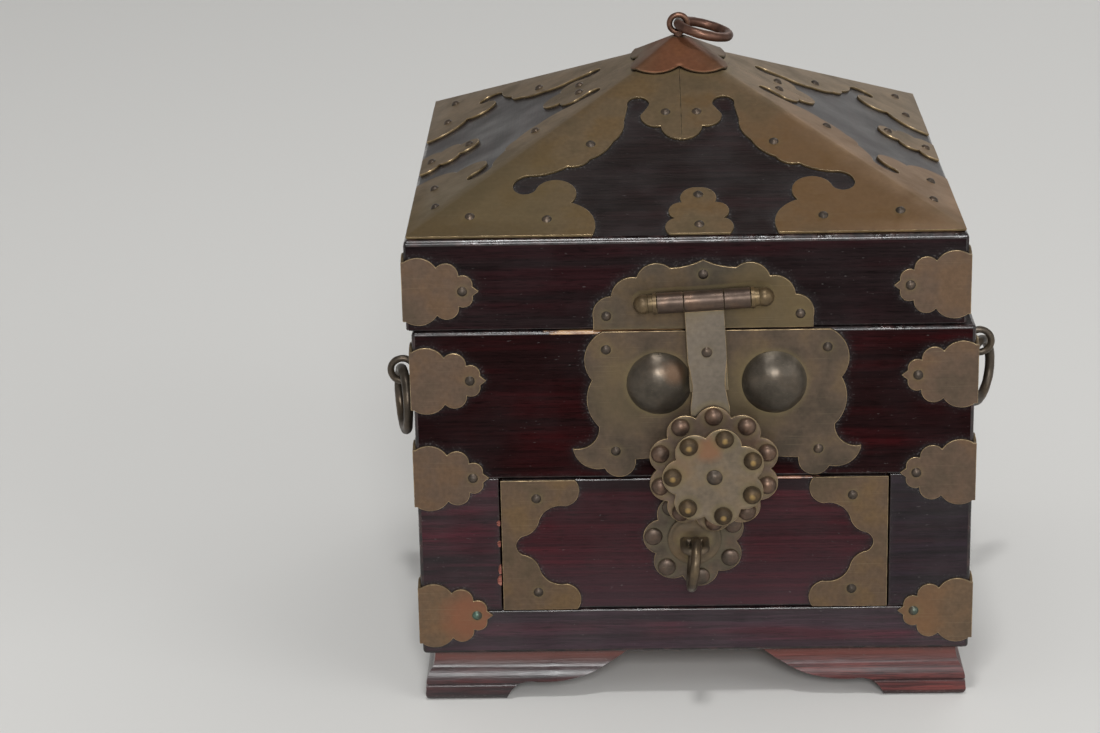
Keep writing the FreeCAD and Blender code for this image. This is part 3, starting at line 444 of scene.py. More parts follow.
haspSpots = (dict(place=(15, -52, 86), reach=14, tint="#685a3c", strength=0.5),)
haspLook = dict(brassLook, dull="#4b4338", base="#574b3e", warm="#60503c", spots=haspSpots)
discLook = dict(haspLook, dull="#564d40", base="#635646", warm="#6e5b44", spots=())
drawerLook = dict(brassLook, dull="#594b3b", base="#625040", warm="#6b563e")
rosetteSpots = (dict(place=(1.5, -60, 58.2), reach=3.2, tint="#845c42", strength=0.75),
                dict(place=(-4.5, -60, 54.5), reach=3.0, tint="#80664c", strength=0.5))
rosetteLook = dict(brassLook, dull="#6a5f51", base="#756858", warm="#7a6a56", blotch=5.0,
                   spots=rosetteSpots)
largeRosetteLook = dict(rosetteLook, dull="#635448", base="#705f52", warm="#7a6352", spots=())
drawerFlowerLook = dict(rosetteLook, dull="#4e453b", base="#594e43", warm="#635345", spots=(),
                        ring="#66604c")
strapLook = dict(brassLook, dull="#6e655a", base="#786e62", warm="#7c7060", rough=(0.36, 0.5))
bossSpots = (dict(place=(-4.6, -54.2, 72.2), reach=3.0, tint="#75563e", strength=0.5),)
bossLook = dict(brassLook, dull="#474139", base="#534c43", warm="#5b5146", scratch="#8a7e6a", metal=0.75,
                rough=(0.34, 0.46), blotch=6.0, spots=bossSpots, halo=0.2, dirtAndShade=0.5)
barrelLook = dict(brassLook, dull="#483b33", base="#54463d", warm="#604d40", rough=(0.36, 0.48),
                  blotch=4.0, halo=0.1)
finialLook = dict(barrelLook, dull="#574936", base="#66563f", warm="#736044", ring="#7c6c4a", halo=0.3)
# Beaten copper: a warm brown, greyer where it turns over the far hips
copperSpots = (dict(place=(-21.4, 4.5, 118), reach=17, tint="#665a47", strength=0.9),
               dict(place=(16.6, 4.5, 118), reach=17, tint="#665a47", strength=0.9),
               dict(place=(-2.4, 22, 118), reach=17, tint="#665a47", strength=0.9))
copperLook = dict(brassLook, dull="#68442d", base="#754b34", warm="#7f5337", scratch="#8a6850",
                  ring="#54604e", rough=(0.46, 0.6), spots=copperSpots)
# Studs pressed in the petals: dark, and on the small rosette bright at the crown, which is rubbed brass
# with a painted highlight
studLook = dict(brassLook, dull="#52443a", base="#635044", warm="#705848", rough=(0.38, 0.52), blotch=3.0,
                halo=0.2, dirtAndShadeReach=0.9)
rubbedAndHighlightTipLook = dict(studLook, dull="#403528", base="#4e402f", warm="#5c4a34", tip="#92784b", rough=(0.52, 0.64))
drawerStudLook = dict(studLook, dull="#4a4138", base="#554940", warm="#604f44", dirtAndShade=0.5)
# Drawn brass wire: brown, and smoother than the sheet
wireLook = dict(brassLook, dull="#443d33", base="#524940", warm="#5e5244", rough=(0.34, 0.48), blotch=4.0,
                halo=0.1)
eyeLook = dict(wireLook, dull="#5a5044", base="#665a4b", warm="#705f4c", rough=(0.5, 0.62), dirtAndShade=0.3)
# The pull ring's lower end is tinted silvery grey
pullSpots = (dict(place=(-2.6, -60, 24.6), reach=6.0, tint="#8e8a84", strength=0.85),)
pullLook = dict(wireLook, dull="#453c32", base="#564a3c", warm="#655641", spots=pullSpots)
topRingLook = dict(wireLook, dull="#523a30", base="#64473b", warm="#725343")
# Nail heads: nearly black, two of them green with verdigris
nailSpots = (dict(place=(-46.6, -52.4, 19.4), reach=1.8, tint="#566f62", strength=0.9),
             dict(place=(44.4, -52.4, 19.4), reach=1.6, tint="#4e5e55", strength=0.7))
nailLook = dict(brassLook, dull="#403932", base="#50473f", warm="#5c4e42", scratch="#6c6250",
                rough=(0.4, 0.52), blotch=2.0, dirtAndShade=0.7, dirtAndShadeReach=0.6, spots=nailSpots, halo=0.0)
# Cut edges of the sheet, rubbed nearly bare
rubbedLook = dict(brassLook, dull="#756650", base="#937f62", warm="#ab9470", scratch="#b9a784", metal=0.8,
                  rough=(0.3, 0.42), blotch=2.2, dirtAndShade=0.3, halo=0.0)


def tarnishedMetal(name, look):
    material, tree, shader, place = newMaterial(name)
    blotch = addNode(tree, "ShaderNodeTexNoise", {
        "Vector": place, "Scale": 1 / (look["blotch"] * mm), "Detail": 4.0, "Roughness": 0.55})
    tint = addNode(tree, "ShaderNodeValToRGB", {"Fac": blotch.outputs["Fac"]},
                   stops=[(0.36, look["dull"]), (0.5, look["base"]), (0.64, look["warm"])])
    mottle = addNode(tree, "ShaderNodeTexNoise", {
        "Vector": place, "Scale": 1 / (look["mottle"] * mm), "Detail": 3.0})
    mottleShade = addNode(tree, "ShaderNodeMapRange", {"Value": mottle.outputs["Fac"], "From Min": 0.3,
                                                       "From Max": 0.7, "To Min": 0.86, "To Max": 1.08})
    mottled = addNode(tree, "ShaderNodeMix", {0: 1.0, 6: tint.outputs[0], 7: mottleShade.outputs[0]},
                      data_type="RGBA", blend_type="MULTIPLY")
    colour = mottled.outputs[2]
    for spot in look["spots"]:
        centre = [value * mm for value in spot["place"]]
        away = addNode(tree, "ShaderNodeVectorMath", {0: place, 1: centre}, operation="DISTANCE")
        ragged = addNode(tree, "ShaderNodeMath", {0: blotch.outputs["Fac"], 1: -spot["reach"] * mm,
                                                  2: away.outputs["Value"]}, operation="MULTIPLY_ADD")
        inside = addNode(tree, "ShaderNodeMapRange", {
            "Value": ragged.outputs[0], "From Min": spot["reach"] * 0.6 * mm, "From Max": 0.0,
            "To Max": spot["strength"]})
        mixed = addNode(tree, "ShaderNodeMix", {0: inside.outputs[0], 6: colour, 7: linear(spot["tint"])},
                        data_type="RGBA")
        colour = mixed.outputs[2]
    run, width = (1 / (size * mm) for size in look["hair"])
    slant = addNode(tree, "ShaderNodeMapping", {"Vector": place, "Rotation": (0.5, 0.6, 0.4),
                                                "Scale": (run, width, width)})
    hair = addNode(tree, "ShaderNodeTexNoise", {"Vector": slant.outputs[0], "Scale": 1.0, "Detail": 1.0})
    scratch = addNode(tree, "ShaderNodeMapRange", {
        "Value": hair.outputs["Fac"], "From Min": 0.64, "From Max": 0.76, "To Max": 0.22})
    scratched = addNode(tree, "ShaderNodeMix", {
        0: scratch.outputs[0], 6: colour, 7: linear(look["scratch"])}, data_type="RGBA")
    colour = scratched.outputs[2]
    # Each crown is brightened: rubbed brass and a painted highlight
    if look["tip"]:
        crown = addNode(tree, "ShaderNodeAttribute", attribute_name="crown")
        uneven = addNode(tree, "ShaderNodeMath", {
            0: mottle.outputs["Fac"], 1: 0.05, 2: crown.outputs["Fac"]}, operation="MULTIPLY_ADD")
        bright = addNode(tree, "ShaderNodeMapRange", {
            "Value": uneven.outputs[0], "From Min": 0.945, "From Max": 1.02})
        tipped = addNode(tree, "ShaderNodeMix", {0: bright.outputs[0], 6: colour, 7: linear(look["tip"])},
                         data_type="RGBA")
        colour = tipped.outputs[2]
    hollow = addNode(tree, "ShaderNodeAmbientOcclusion", {"Distance": look["dirtAndShadeReach"] * mm}, samples=8)
    around = addNode(tree, "ShaderNodeValToRGB", {"Fac": hollow.outputs["AO"]},
                     stops=[(0.5, "#000000"), (0.68, "#ffffff"), (0.9, "#dddddd"), (0.99, "#000000")])
    ringed = addNode(tree, "ShaderNodeMath", {0: around.outputs[0], 1: look["halo"]}, operation="MULTIPLY")
    pale = addNode(tree, "ShaderNodeMix", {
        0: ringed.outputs[0], 6: colour, 7: linear(look["ring"])}, data_type="RGBA")
    # Grime and painted shade: the colour turns dark where a nail, a boss or an edge hems the surface in
    dirtAndShadeShare = addNode(tree, "ShaderNodeMapRange", {
        "Value": hollow.outputs["AO"], "From Min": 0.62, "From Max": 0.4, "To Max": look["dirtAndShade"]})
    dirtiedAndShaded = addNode(tree, "ShaderNodeMix", {
        0: dirtAndShadeShare.outputs[0], 6: pale.outputs[2], 7: linear(look["dark"])}, data_type="RGBA")
    tree.links.new(dirtiedAndShaded.outputs[2], shader.inputs["Base Color"])
    rough = addNode(tree, "ShaderNodeMapRange", {
        "Value": blotch.outputs["Fac"], "From Min": 0.35, "From Max": 0.65, "To Min": look["rough"][1],
        "To Max": look["rough"][0]})
    tree.links.new(rough.outputs[0], shader.inputs["Roughness"])
    dip = addNode(tree, "ShaderNodeTexNoise", {
        "Vector": place, "Scale": 1 / (look["dip"] * mm), "Detail": 2.0})
    dents = addNode(tree, "ShaderNodeBump", {
        "Height": dip.outputs["Fac"], "Strength": 0.25, "Distance": 0.5 * mm})
    pits = addNode(tree, "ShaderNodeBump", {
        "Height": mottle.outputs["Fac"], "Strength": 0.1, "Distance": 0.2 * mm, "Normal": dents.outputs[0]})
    tree.links.new(pits.outputs[0], shader.inputs["Normal"])
    shader.inputs["Metallic"].default_value = look["metal"]
    return material


roofBrass = tarnishedMetal("tarnishedBrassRoof", roofLook)
cornerBrass = tarnishedMetal("tarnishedBrassCorner", cornerLook)
lowerBrass = tarnishedMetal("tarnishedBrassLowerCorner", lowerLook)
lockBrass = tarnishedMetal("tarnishedBrassLock", lockLook)
haspBrass = tarnishedMetal("tarnishedBrassHasp", haspLook)
discBrass = tarnishedMetal("tarnishedBrassPullDisc", discLook)
drawerBrass = tarnishedMetal("tarnishedBrassDrawer", drawerLook)
rosetteBrass = tarnishedMetal("tarnishedBrassRosette", rosetteLook)
largeRosetteBrass = tarnishedMetal("brownBrassLargeRosette", largeRosetteLook)
drawerFlowerBrass = tarnishedMetal("dullBrassDrawerRosette", drawerFlowerLook)
strapBrass = tarnishedMetal("tarnishedBrassStrap", strapLook)
bossBrass = tarnishedMetal("darkBrassBoss", bossLook)
barrelBronze = tarnishedMetal("redBronzeBarrel", barrelLook)
finialBrass = tarnishedMetal("tarnishedBrassFinial", finialLook)
copperSheet = tarnishedMetal("brownCopperSheet", copperLook)
studBrass = tarnishedMetal("brownBrassStud", studLook)
rubbedAndHighlightTipBrass = tarnishedMetal("darkBrassRubbedAndHighlightTip", rubbedAndHighlightTipLook)
drawerStudBrass = tarnishedMetal("dullBrassDrawerStud", drawerStudLook)
wireBrass = tarnishedMetal("tarnishedBrassWire", wireLook)
pullBrass = tarnishedMetal("brassPullGreyLowerEnd", pullLook)
eyeBrass = tarnishedMetal("dullBrassEye", eyeLook)
topRingBronze = tarnishedMetal("brownBronzeTopRing", topRingLook)
nailMetal = tarnishedMetal("darkNailHead", nailLook)
rubbedBrass = tarnishedMetal("rubbedBrassEdge", rubbedLook)
print("metals made")


# Boards: the outer edges of the box are well rounded, the joints between boards only eased. On mitred
# boards only the upper edges are rounded.
def shellOf(*nodes):
    corners = [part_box(node) for node in nodes]
    low = [min(corner[0][axis] for corner in corners) for axis in range(3)]
    high = [max(corner[1][axis] for corner in corners) for axis in range(3)]
    return low, high


def onShell(ends, shell, mitred):
    faces = set()
    for axis in range(3):
        for level in (shell[0][axis], shell[1][axis]):
            if all(abs(point[axis] - level) < samePlane for point in ends):
                faces.add(axis)
    if mitred and any(abs(point.z - shell[1][2]) > samePlane for point in ends):
        return False
    return len(faces) >= 2


def paintFaces(piece, slot, wanted):
    for face in piece.data.polygons:
        if wanted(face.center, face.normal):
            face.material_index = slot


# A mitred corner is cut across both boards by the same slanting plane
mitreCut = 0.6 * mm


def cutCorners(piece, shell, depth):
    pick(piece)
    bpy.ops.object.mode_set(mode="EDIT")
    for cornerX, outX in ((shell[0][0], -1), (shell[1][0], 1)):
        for cornerY, outY in ((shell[0][1], -1), (shell[1][1], 1)):
            bpy.ops.mesh.select_all(action="SELECT")
            bpy.ops.mesh.bisect(plane_co=(cornerX - outX * depth, cornerY, 0), plane_no=(outX, outY, 0),
                                clear_outer=True, use_fill=True, threshold=cutTolerance)
    bpy.ops.object.mode_set(mode="OBJECT")


# Chips knocked out of an edge, down to the bare wood
chipRoughness = 0.12 * mm


def chipEdge(piece, chips, slot):
    for chip in chips:
        deselectAll()
        place = Vector(chip["place"]) * mm
        bpy.ops.mesh.primitive_ico_sphere_add(subdivisions=3, radius=mm, location=place)
        tool = bpy.context.object
        bpy.ops.object.mode_set(mode="EDIT")
        bpy.ops.transform.resize(value=chip["size"], center_override=place)
        bpy.ops.transform.vertex_random(offset=chipRoughness, seed=chip["seed"])
        bpy.ops.object.mode_set(mode="OBJECT")
        paintFaces(tool, slot, lambda centre, normal: True)
        applyModifier(piece, "BOOLEAN", operation="DIFFERENCE", object=tool, solver="EXACT")
        bpy.data.objects.remove(tool)


def softBoard(name, board, body, shell, outer=0.7, joint=0.25, mitred=False):
    piece = copyNode(board["node"], name)
    dress(piece, board["face"], board["edge"])
    editEdges(piece, lambda ends: onShell(ends, shell, mitred))
    bpy.ops.mesh.bevel(offset=outer * mm, segments=4, affect="EDGES", material=1, clamp_overlap=False)
    bpy.ops.object.mode_set(mode="OBJECT")
    if mitred:
        cutCorners(piece, shell, mitreCut)
    roundEdges(piece, board.get("joint", joint) * mm, 3, overAngle=60)
    piece.data.materials.append(board["inside"])
    middle = Vector([(shell[0][axis] + shell[1][axis]) / 2 for axis in range(3)])
    index = "XYZ".index(board["thick"])
    paintFaces(piece, 2, lambda centre, normal: normal[index] * (middle[index] - centre[index]) > 0
               and abs(normal[index]) > squareOn)
    if "chips" in board:
        piece.data.materials.append(chippedWood)
        chipEdge(piece, board["chips"], 3)
    finishPiece(piece, body, "varnished_rosewood", board["node"])


stileChips = (dict(place=(-40.5, -51.6, 39.5), size=(0.7, 0.6, 0.7), seed=3),
              dict(place=(-40.5, -51.6, 35.0), size=(0.7, 0.6, 0.8), seed=5),
              dict(place=(-40.5, -51.6, 29.4), size=(0.6, 0.6, 1.2), seed=7),
              dict(place=(-40.5, -51.6, 27.0), size=(0.9, 0.6, 1.2), seed=9))
carcassBoards = {
    "upperFrontBoard": dict(node="upper_front_panel", face=upperVarnish["X"], edge=carcassTopEdge,
                            thick="Y", joint=0.4),
    "leftStile": dict(node="front_stile_left", face=stileVarnish, edge=rubbedVarnish["X"], thick="Y",
                      chips=stileChips),
    "rightStile": dict(node="front_stile_right", face=rightStileVarnish, edge=rubbedVarnish["X"],
                       thick="Y"),
    "bottomRail": dict(node="bottom_rail", face=railVarnish, edge=rubbedVarnish["X"], thick="Y",
                       joint=0.5),
    "leftSideBoard": dict(node="side_panel_left", face=upperVarnish["Y"], edge=rubbedVarnish["Y"],
                          thick="X"),
    "rightSideBoard": dict(node="side_panel_right", face=upperVarnish["Y"], edge=rubbedVarnish["Y"],
                           thick="X"),
    "backBoard": dict(node="back_panel", face=upperVarnish["X"], edge=rubbedVarnish["X"], thick="Y"),
}
carcassShell = shellOf(*[board["node"] for board in carcassBoards.values()])
for name, board in carcassBoards.items():
    board["inside"] = insideWood["X" if board["thick"] == "Y" else "Y"]
    softBoard(name, board, "carcass", carcassShell)
drawerFront = dict(node="drawer_front", face=drawerVarnish, edge=drawerTopEdge, inside=insideWood["X"],
                   thick="Y")
softBoard("drawerFrontBoard", drawerFront, "drawer", shellOf("drawer_front"), outer=0.4)

lidBoards = {
    "lidFrontBoard": dict(node="lid_rim_front", along="X", thick="Y"),
    "lidBackBoard": dict(node="lid_rim_back", along="X", thick="Y"),
    "lidLeftBoard": dict(node="lid_rim_left", along="Y", thick="X"),
    "lidRightBoard": dict(node="lid_rim_right", along="Y", thick="X"),
}
lidShell = shellOf(*[board["node"] for board in lidBoards.values()])
for name, board in lidBoards.items():
    along = board["along"]
    board.update(face=lidVarnish[along], edge=rubbedVarnish[along], inside=insideWood[along])
    softBoard(name, board, "lid", lidShell, outer=1.3, mitred=True)

roofRound = 0.15 * mm
roofBoards = {"roofFrontBoard": ("front", "X"), "roofBackBoard": ("back", "X"),
              "roofLeftBoard": ("left", "Y"), "roofRightBoard": ("right", "Y")}
for name, (side, along) in roofBoards.items():
    piece = copyNode("roof_board_" + side, name)
    dress(piece, roofVarnish[along], rubbedVarnish[along])
    roundEdges(piece, roofRound, 2)
    piece.data.materials.append(insideWood[along])
    paintFaces(piece, 2, lambda centre, normal: normal.z < -0.5)
    finishPiece(piece, "lid", "varnished_rosewood", "roof_board_" + side)
print("boards rounded")

# Feet: the right one in front is worn paler than the others
footRound = 0.25 * mm
for corner in ("front_left", "front_right", "back_left", "back_right"):
    piece = copyNode("foot_" + corner, "foot." + corner, flat=False)
    if corner == "front_right":
        dress(piece, rightFootVarnish, rightFootEdge)
    else:
        dress(piece, footVarnish, footEdge)
    roundEdges(piece, footRound, 3, clamp=True)
    finishPiece(piece, "carcass", "varnished_rosewood", "foot_" + corner)
print("feet rounded")

# Sheet metal: the cut edges are broken a little and rubbed
haspAxis = next(joint for joint in frame["joints"] if joint["name"] == "hasp_swing")
barrelRadius = 2.05 * mm


def onBarrel(centre, normal):
    away = centre - Vector(haspAxis["pos_m"])
    axis = Vector(haspAxis["axis"])
    across = away - axis * away.dot(axis)
    onSkin = barrelRadius * 0.9 < across.length < barrelRadius * 1.04
    return onSkin and across.normalized().dot(normal) > 0.8


# Two hip plates meet in a seam down the middle of each roof face. Its walls are coloured with the dark
# nail metal: painted shade.
seamWidth = 0.12 * mm
seamLeft = 0.07  # share of the seam that stays open
holeReach = 0.25 * mm  # an edge this near to a nail is the rim of its hole
sheetRound = 0.12 * mm
capLow, capHigh = (Vector(corner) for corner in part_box("roof_cap"))
roofApex = (capLow + capHigh) / 2


def inShadedSeam(centre, normal):
    away = centre - roofApex
    return any(abs(away[axis]) < seamWidth and abs(normal[axis]) > squareOn for axis in (0, 1))


# On the box the seams show only as a faint crease, so the plates are pushed nearly together
def closeSeams(piece):
    for axis, shares in ((0, (seamLeft, 1, 1)), (1, (1, seamLeft, 1))):
        selectPoints(piece, lambda point: abs(point.co[axis] - roofApex[axis]) < seamWidth)
        bpy.ops.transform.resize(value=shares, center_override=roofApex)
        bpy.ops.object.mode_set(mode="OBJECT")


# All sharp edges but those along the seams and under the nail heads
def selectSharp(piece):
    pick(piece)
    bpy.ops.object.mode_set(mode="EDIT")
    bpy.ops.mesh.select_mode(type="EDGE")
    bpy.ops.mesh.select_all(action="DESELECT")
    bpy.ops.mesh.edges_select_sharp(sharpness=math.radians(sharpAngle))
    bpy.ops.object.mode_set(mode="OBJECT")
    nailPoints = frame["nodes"]["lid_nails"].data.vertices
    nails = kdtree.KDTree(len(nailPoints))
    for point in nailPoints:
        nails.insert(point.co, point.index)
    nails.balance()
    points = piece.data.vertices
    for edge in piece.data.edges:
        ends = [points[index].co - roofApex for index in edge.vertices]
        inHole = all(nails.find(points[index].co)[2] < holeReach for index in edge.vertices)
        if inHole or any(all(abs(end[axis]) < seamWidth for end in ends) for axis in (0, 1)):
            edge.select = False
    bpy.ops.object.mode_set(mode="EDIT")


sheets = {
    "cornerPlatesUpper": dict(node="corner_plates_upper", body="carcass", face=cornerBrass),
    "cornerPlatesMiddle": dict(node="corner_plates_middle", body="carcass", face=cornerBrass),
    "cornerPlatesLower": dict(node="corner_plates_lower", body="carcass", face=lowerBrass),
    "lockPlate": dict(node="lock_plate", body="carcass", face=lockBrass),
    "lidCornerPlates": dict(node="lid_corner_plates", body="lid", face=cornerBrass),
    "roofHipPlates": dict(node="roof_hip_plates", body="lid", face=roofBrass),
    "roofOrnaments": dict(node="roof_ornaments", body="lid", face=roofBrass),
    "haspPlate": dict(node="hasp_plate", body="lid", face=haspBrass, barrel=barrelBronze),
    "haspStrap": dict(node="hasp_strap", body="hasp", face=strapBrass, barrel=barrelBronze),
    "drawerEndPlates": dict(node="drawer_plates", body="drawer", face=drawerBrass),
}
for name, sheet in sheets.items():
    piece = copyNode(sheet["node"], name)
    dress(piece, sheet["face"], rubbedBrass)
    if name == "roofHipPlates":
        closeSeams(piece)
        selectSharp(piece)
        bpy.ops.mesh.bevel(offset=sheetRound, segments=2, affect="EDGES", material=1, clamp_overlap=False)
        bpy.ops.object.mode_set(mode="OBJECT")
        # The seam walls take the dark nail metal as painted shade
        piece.data.materials.append(nailMetal)
        paintFaces(piece, 2, inShadedSeam)
    else:
        roundEdges(piece, sheetRound, 2)
    if "barrel" in sheet:
        piece.data.materials.append(sheet["barrel"])
        paintFaces(piece, 2, onBarrel)
    finishPiece(piece, sheet["body"], "aged_brass", sheet["node"])

# The copper cap is beaten over the apex, so that its hips and rim are soft
capSheet = dict(grain=0.14, eased=16, beaten=110, rim=1.3)
capPiece = copyNode("roof_cap", "roofCap", flat=False)
dress(capPiece, copperSheet)
applyModifier(capPiece, "REMESH", mode="VOXEL", voxel_size=capSheet["grain"] * mm)
applyModifier(capPiece, "SMOOTH", factor=0.5, iterations=capSheet["eased"])
rimTop = capLow.z + capSheet["rim"] * mm
selectPoints(capPiece, lambda point: point.co.z > rimTop)
bpy.ops.object.vertex_group_assign_new()
bpy.ops.object.mode_set(mode="OBJECT")
crownGroup = capPiece.vertex_groups[0].name
applyModifier(capPiece, "SMOOTH", factor=0.5, iterations=capSheet["beaten"], vertex_group=crownGroup)
finishPiece(capPiece, "lid", "copper_sheet", "roof_cap", smooth=70)
print("sheets cut")


# Rosettes: a disc is drawn in to petals, raised to a sheet, and dished inside a flat rim
dishSlope = 1.2 * mm


def petalSheet(name, rosette):
    deselectAll()
    steps, radius = rosette["steps"], rosette["radius"]
    bpy.ops.mesh.primitive_circle_add(vertices=rosette["petals"] * steps, radius=radius * mm,
                                      fill_type="NGON")
    piece = bpy.context.object
    piece.name = name
    halfPetal = math.pi / rosette["petals"]
    cusp = radius - rosette["petalDepth"]
    lobeCentre = (radius ** 2 - cusp ** 2) / (2 * (radius - cusp * math.cos(halfPetal)))
    lobeRadius = radius - lobeCentre
    for step in range(1, steps):
        angle = 2 * halfPetal * min(step, steps - step) / steps
        aside = lobeCentre * math.sin(angle)
        reach = lobeCentre * math.cos(angle) + math.sqrt(lobeRadius ** 2 - aside ** 2)
        selectPoints(piece, lambda point: point.index % steps == step)
        bpy.ops.transform.resize(value=(reach / radius, reach / radius, 1), center_override=(0, 0, 0))
    bpy.ops.mesh.select_all(action="SELECT")
    bpy.ops.mesh.select_mode(type="FACE")
    bpy.ops.mesh.extrude_region_move(TRANSFORM_OT_translate={"value": (0, 0, rosette["sheet"] * mm)})
    bpy.ops.mesh.inset(thickness=rosette["rim"] * mm)
    bpy.ops.mesh.inset(thickness=dishSlope, depth=-rosette["dish"] * mm)
    bpy.ops.mesh.select_all(action="SELECT")
    bpy.ops.mesh.normals_make_consistent(inside=False)
    bpy.ops.object.mode_set(mode="OBJECT")
    return piece


def rosettePlace(rosette):
    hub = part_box(rosette["hub"])
    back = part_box(rosette["node"])[1][1]
    centre = Vector(((hub[0][0] + hub[1][0]) / 2, back, (hub[0][2] + hub[1][2]) / 2))
    return (Matrix.Translation(centre) @ Matrix.Rotation(math.radians(rosette["tilt"]), 4, "Y")
            @ Matrix.Rotation(math.radians(90), 4, "X"))


# A pressed stud: the top half of a ball, flattened, with how near each point is to the crown
def pressedStud(stud):
    deselectAll()
    bpy.ops.mesh.primitive_uv_sphere_add(segments=24, ring_count=16, radius=stud["radius"] * mm)
    piece = bpy.context.object
    bpy.ops.object.mode_set(mode="EDIT")
    bpy.ops.mesh.select_all(action="SELECT")
    bpy.ops.mesh.bisect(plane_co=(0, 0, 0), plane_no=(0, 0, 1), clear_inner=True, use_fill=True,
                        threshold=cutTolerance)
    bpy.ops.mesh.select_all(action="SELECT")
    bpy.ops.transform.resize(value=(1, 1, stud["height"] / stud["radius"]), center_override=(0, 0, 0))
    bpy.ops.object.mode_set(mode="OBJECT")
    crown = piece.data.attributes.new("crown", "FLOAT", "POINT")
    for point, value in zip(piece.data.vertices, crown.data):
        value.value = point.co.z / (stud["height"] * mm)
    return piece


def setStuds(name, model, places):
    deselectAll()
    for place in places:
        copy = bpy.data.objects.new(name, model.data.copy())
        scene.collection.objects.link(copy)
        copy.data.transform(place)
        copy.select_set(True)
        bpy.context.view_layer.objects.active = copy
    bpy.ops.object.join()
    bpy.data.objects.remove(model)
    return bpy.context.object


petalRound = 0.1 * mm
rosettes = {
    "largeRosette": dict(node="large_rosette", hub="rosette_post", body="hasp", petals=10, radius=13.3,
                         turn=87, tilt=-3, sheet=0.8, petalDepth=1.9, steps=14, rim=0.7, dish=0.12,
                         face=largeRosetteBrass, studs="largeStuds", studNode="rosette_studs",
                         stud=dict(radius=1.85, height=1.5, inset=2.05), studFace=studBrass),
    "smallRosette": dict(node="small_rosette", hub="rosette_post", body="hasp", petals=7, radius=10.4,
                         turn=73, tilt=-3, sheet=0.8, petalDepth=1.9, steps=16, rim=0.6, dish=0.18,
                         face=rosetteBrass, studs="smallStuds", studNode="rosette_studs",
                         stud=dict(radius=1.85, height=1.5, inset=2.05), studFace=rubbedAndHighlightTipBrass),
    "drawerRosette": dict(node="drawer_rosette", hub="drawer_pull_boss", body="drawer", petals=7,
                          radius=10.4, turn=73, tilt=0, sheet=0.6, petalDepth=1.9, steps=16, rim=0.5,
                          dish=0.1, face=drawerFlowerBrass, studs="drawerStuds", studNode="drawer_rosette",
                          stud=dict(radius=1.85, height=0.8, inset=2.05), studFace=drawerStudBrass,
                          nailHole=dict(place=(-7.49, 1.25, 0.3), radius=0.5)),
}
for name, rosette in rosettes.items():
    place = rosettePlace(rosette)
    piece = petalSheet(name, rosette)
    first = piece.data.vertices[0].co
    turn = math.radians(rosette["turn"]) - math.atan2(first.y, first.x)
    piece.data.transform(place @ Matrix.Rotation(turn, 4, "Z"))
    dress(piece, rosette["face"], rubbedBrass)
    roundEdges(piece, petalRound, 2)
    if "nailHole" in rosette:
        hole = rosette["nailHole"]
        deselectAll()
        bpy.ops.mesh.primitive_cylinder_add(vertices=20, radius=hole["radius"] * mm, depth=2 * mm)
        tool = bpy.context.object
        tool.data.transform(place @ Matrix.Translation(Vector(hole["place"]) * mm))
        applyModifier(piece, "BOOLEAN", operation="DIFFERENCE", object=tool, solver="EXACT")
        bpy.data.objects.remove(tool)
    finishPiece(piece, rosette["body"], "aged_brass", rosette["node"])
    model = pressedStud(rosette["stud"])
    dress(model, rosette["studFace"])
    reach = rosette["radius"] - rosette["stud"]["inset"]
    spots = []
    for index in range(rosette["petals"]):
        angle = math.radians(rosette["turn"]) + 2 * math.pi * index / rosette["petals"]
        spot = Vector((reach * math.cos(angle), reach * math.sin(angle), rosette["sheet"])) * mm
        spots.append(place @ Matrix.Translation(spot))
    studs = setStuds(rosette["studs"], model, spots)
    finishPiece(studs, rosette["body"], "aged_brass", rosette["studNode"], smooth=60)
print("rosettes pressed")


# The plate behind the drawer's ring: a turned disc with a grooved rim and a low crown
pullDisc = dict(node="drawer_pull_boss", sides=64,
                profile=((5.4, 0.0), (5.4, 0.5), (5.2, 0.66), (4.8, 0.68), (4.5, 0.6), (4.2, 0.66),
                         (3.0, 0.85), (1.4, 0.98)))


def turnedDisc(name, disc):
    deselectAll()
    profile = disc["profile"]
    bpy.ops.mesh.primitive_circle_add(vertices=disc["sides"], radius=profile[0][0] * mm, fill_type="NGON")
    piece = bpy.context.object
    piece.name = name
    bpy.ops.object.mode_set(mode="EDIT")
    bpy.ops.mesh.select_mode(type="FACE")
    bpy.ops.mesh.select_all(action="SELECT")
    for (radius, level), (nextRadius, nextLevel) in zip(profile, profile[1:]):
        bpy.ops.mesh.extrude_region_move(TRANSFORM_OT_translate={"value": (0, 0, (nextLevel - level) * mm)})
        share = nextRadius / radius
        bpy.ops.transform.resize(value=(share, share, 1), center_override=(0, 0, nextLevel * mm))
    bpy.ops.mesh.select_all(action="SELECT")
    bpy.ops.mesh.normals_make_consistent(inside=False)
    bpy.ops.object.mode_set(mode="OBJECT")
    return piece


disc = turnedDisc("pullBoss", pullDisc)
disc.data.transform(rosettePlace(dict(node=pullDisc["node"], hub=pullDisc["node"], tilt=0)))
dress(disc, discBrass)
finishPiece(disc, "drawer", "dark_brass", pullDisc["node"], smooth=50)
print("pull plate turned")

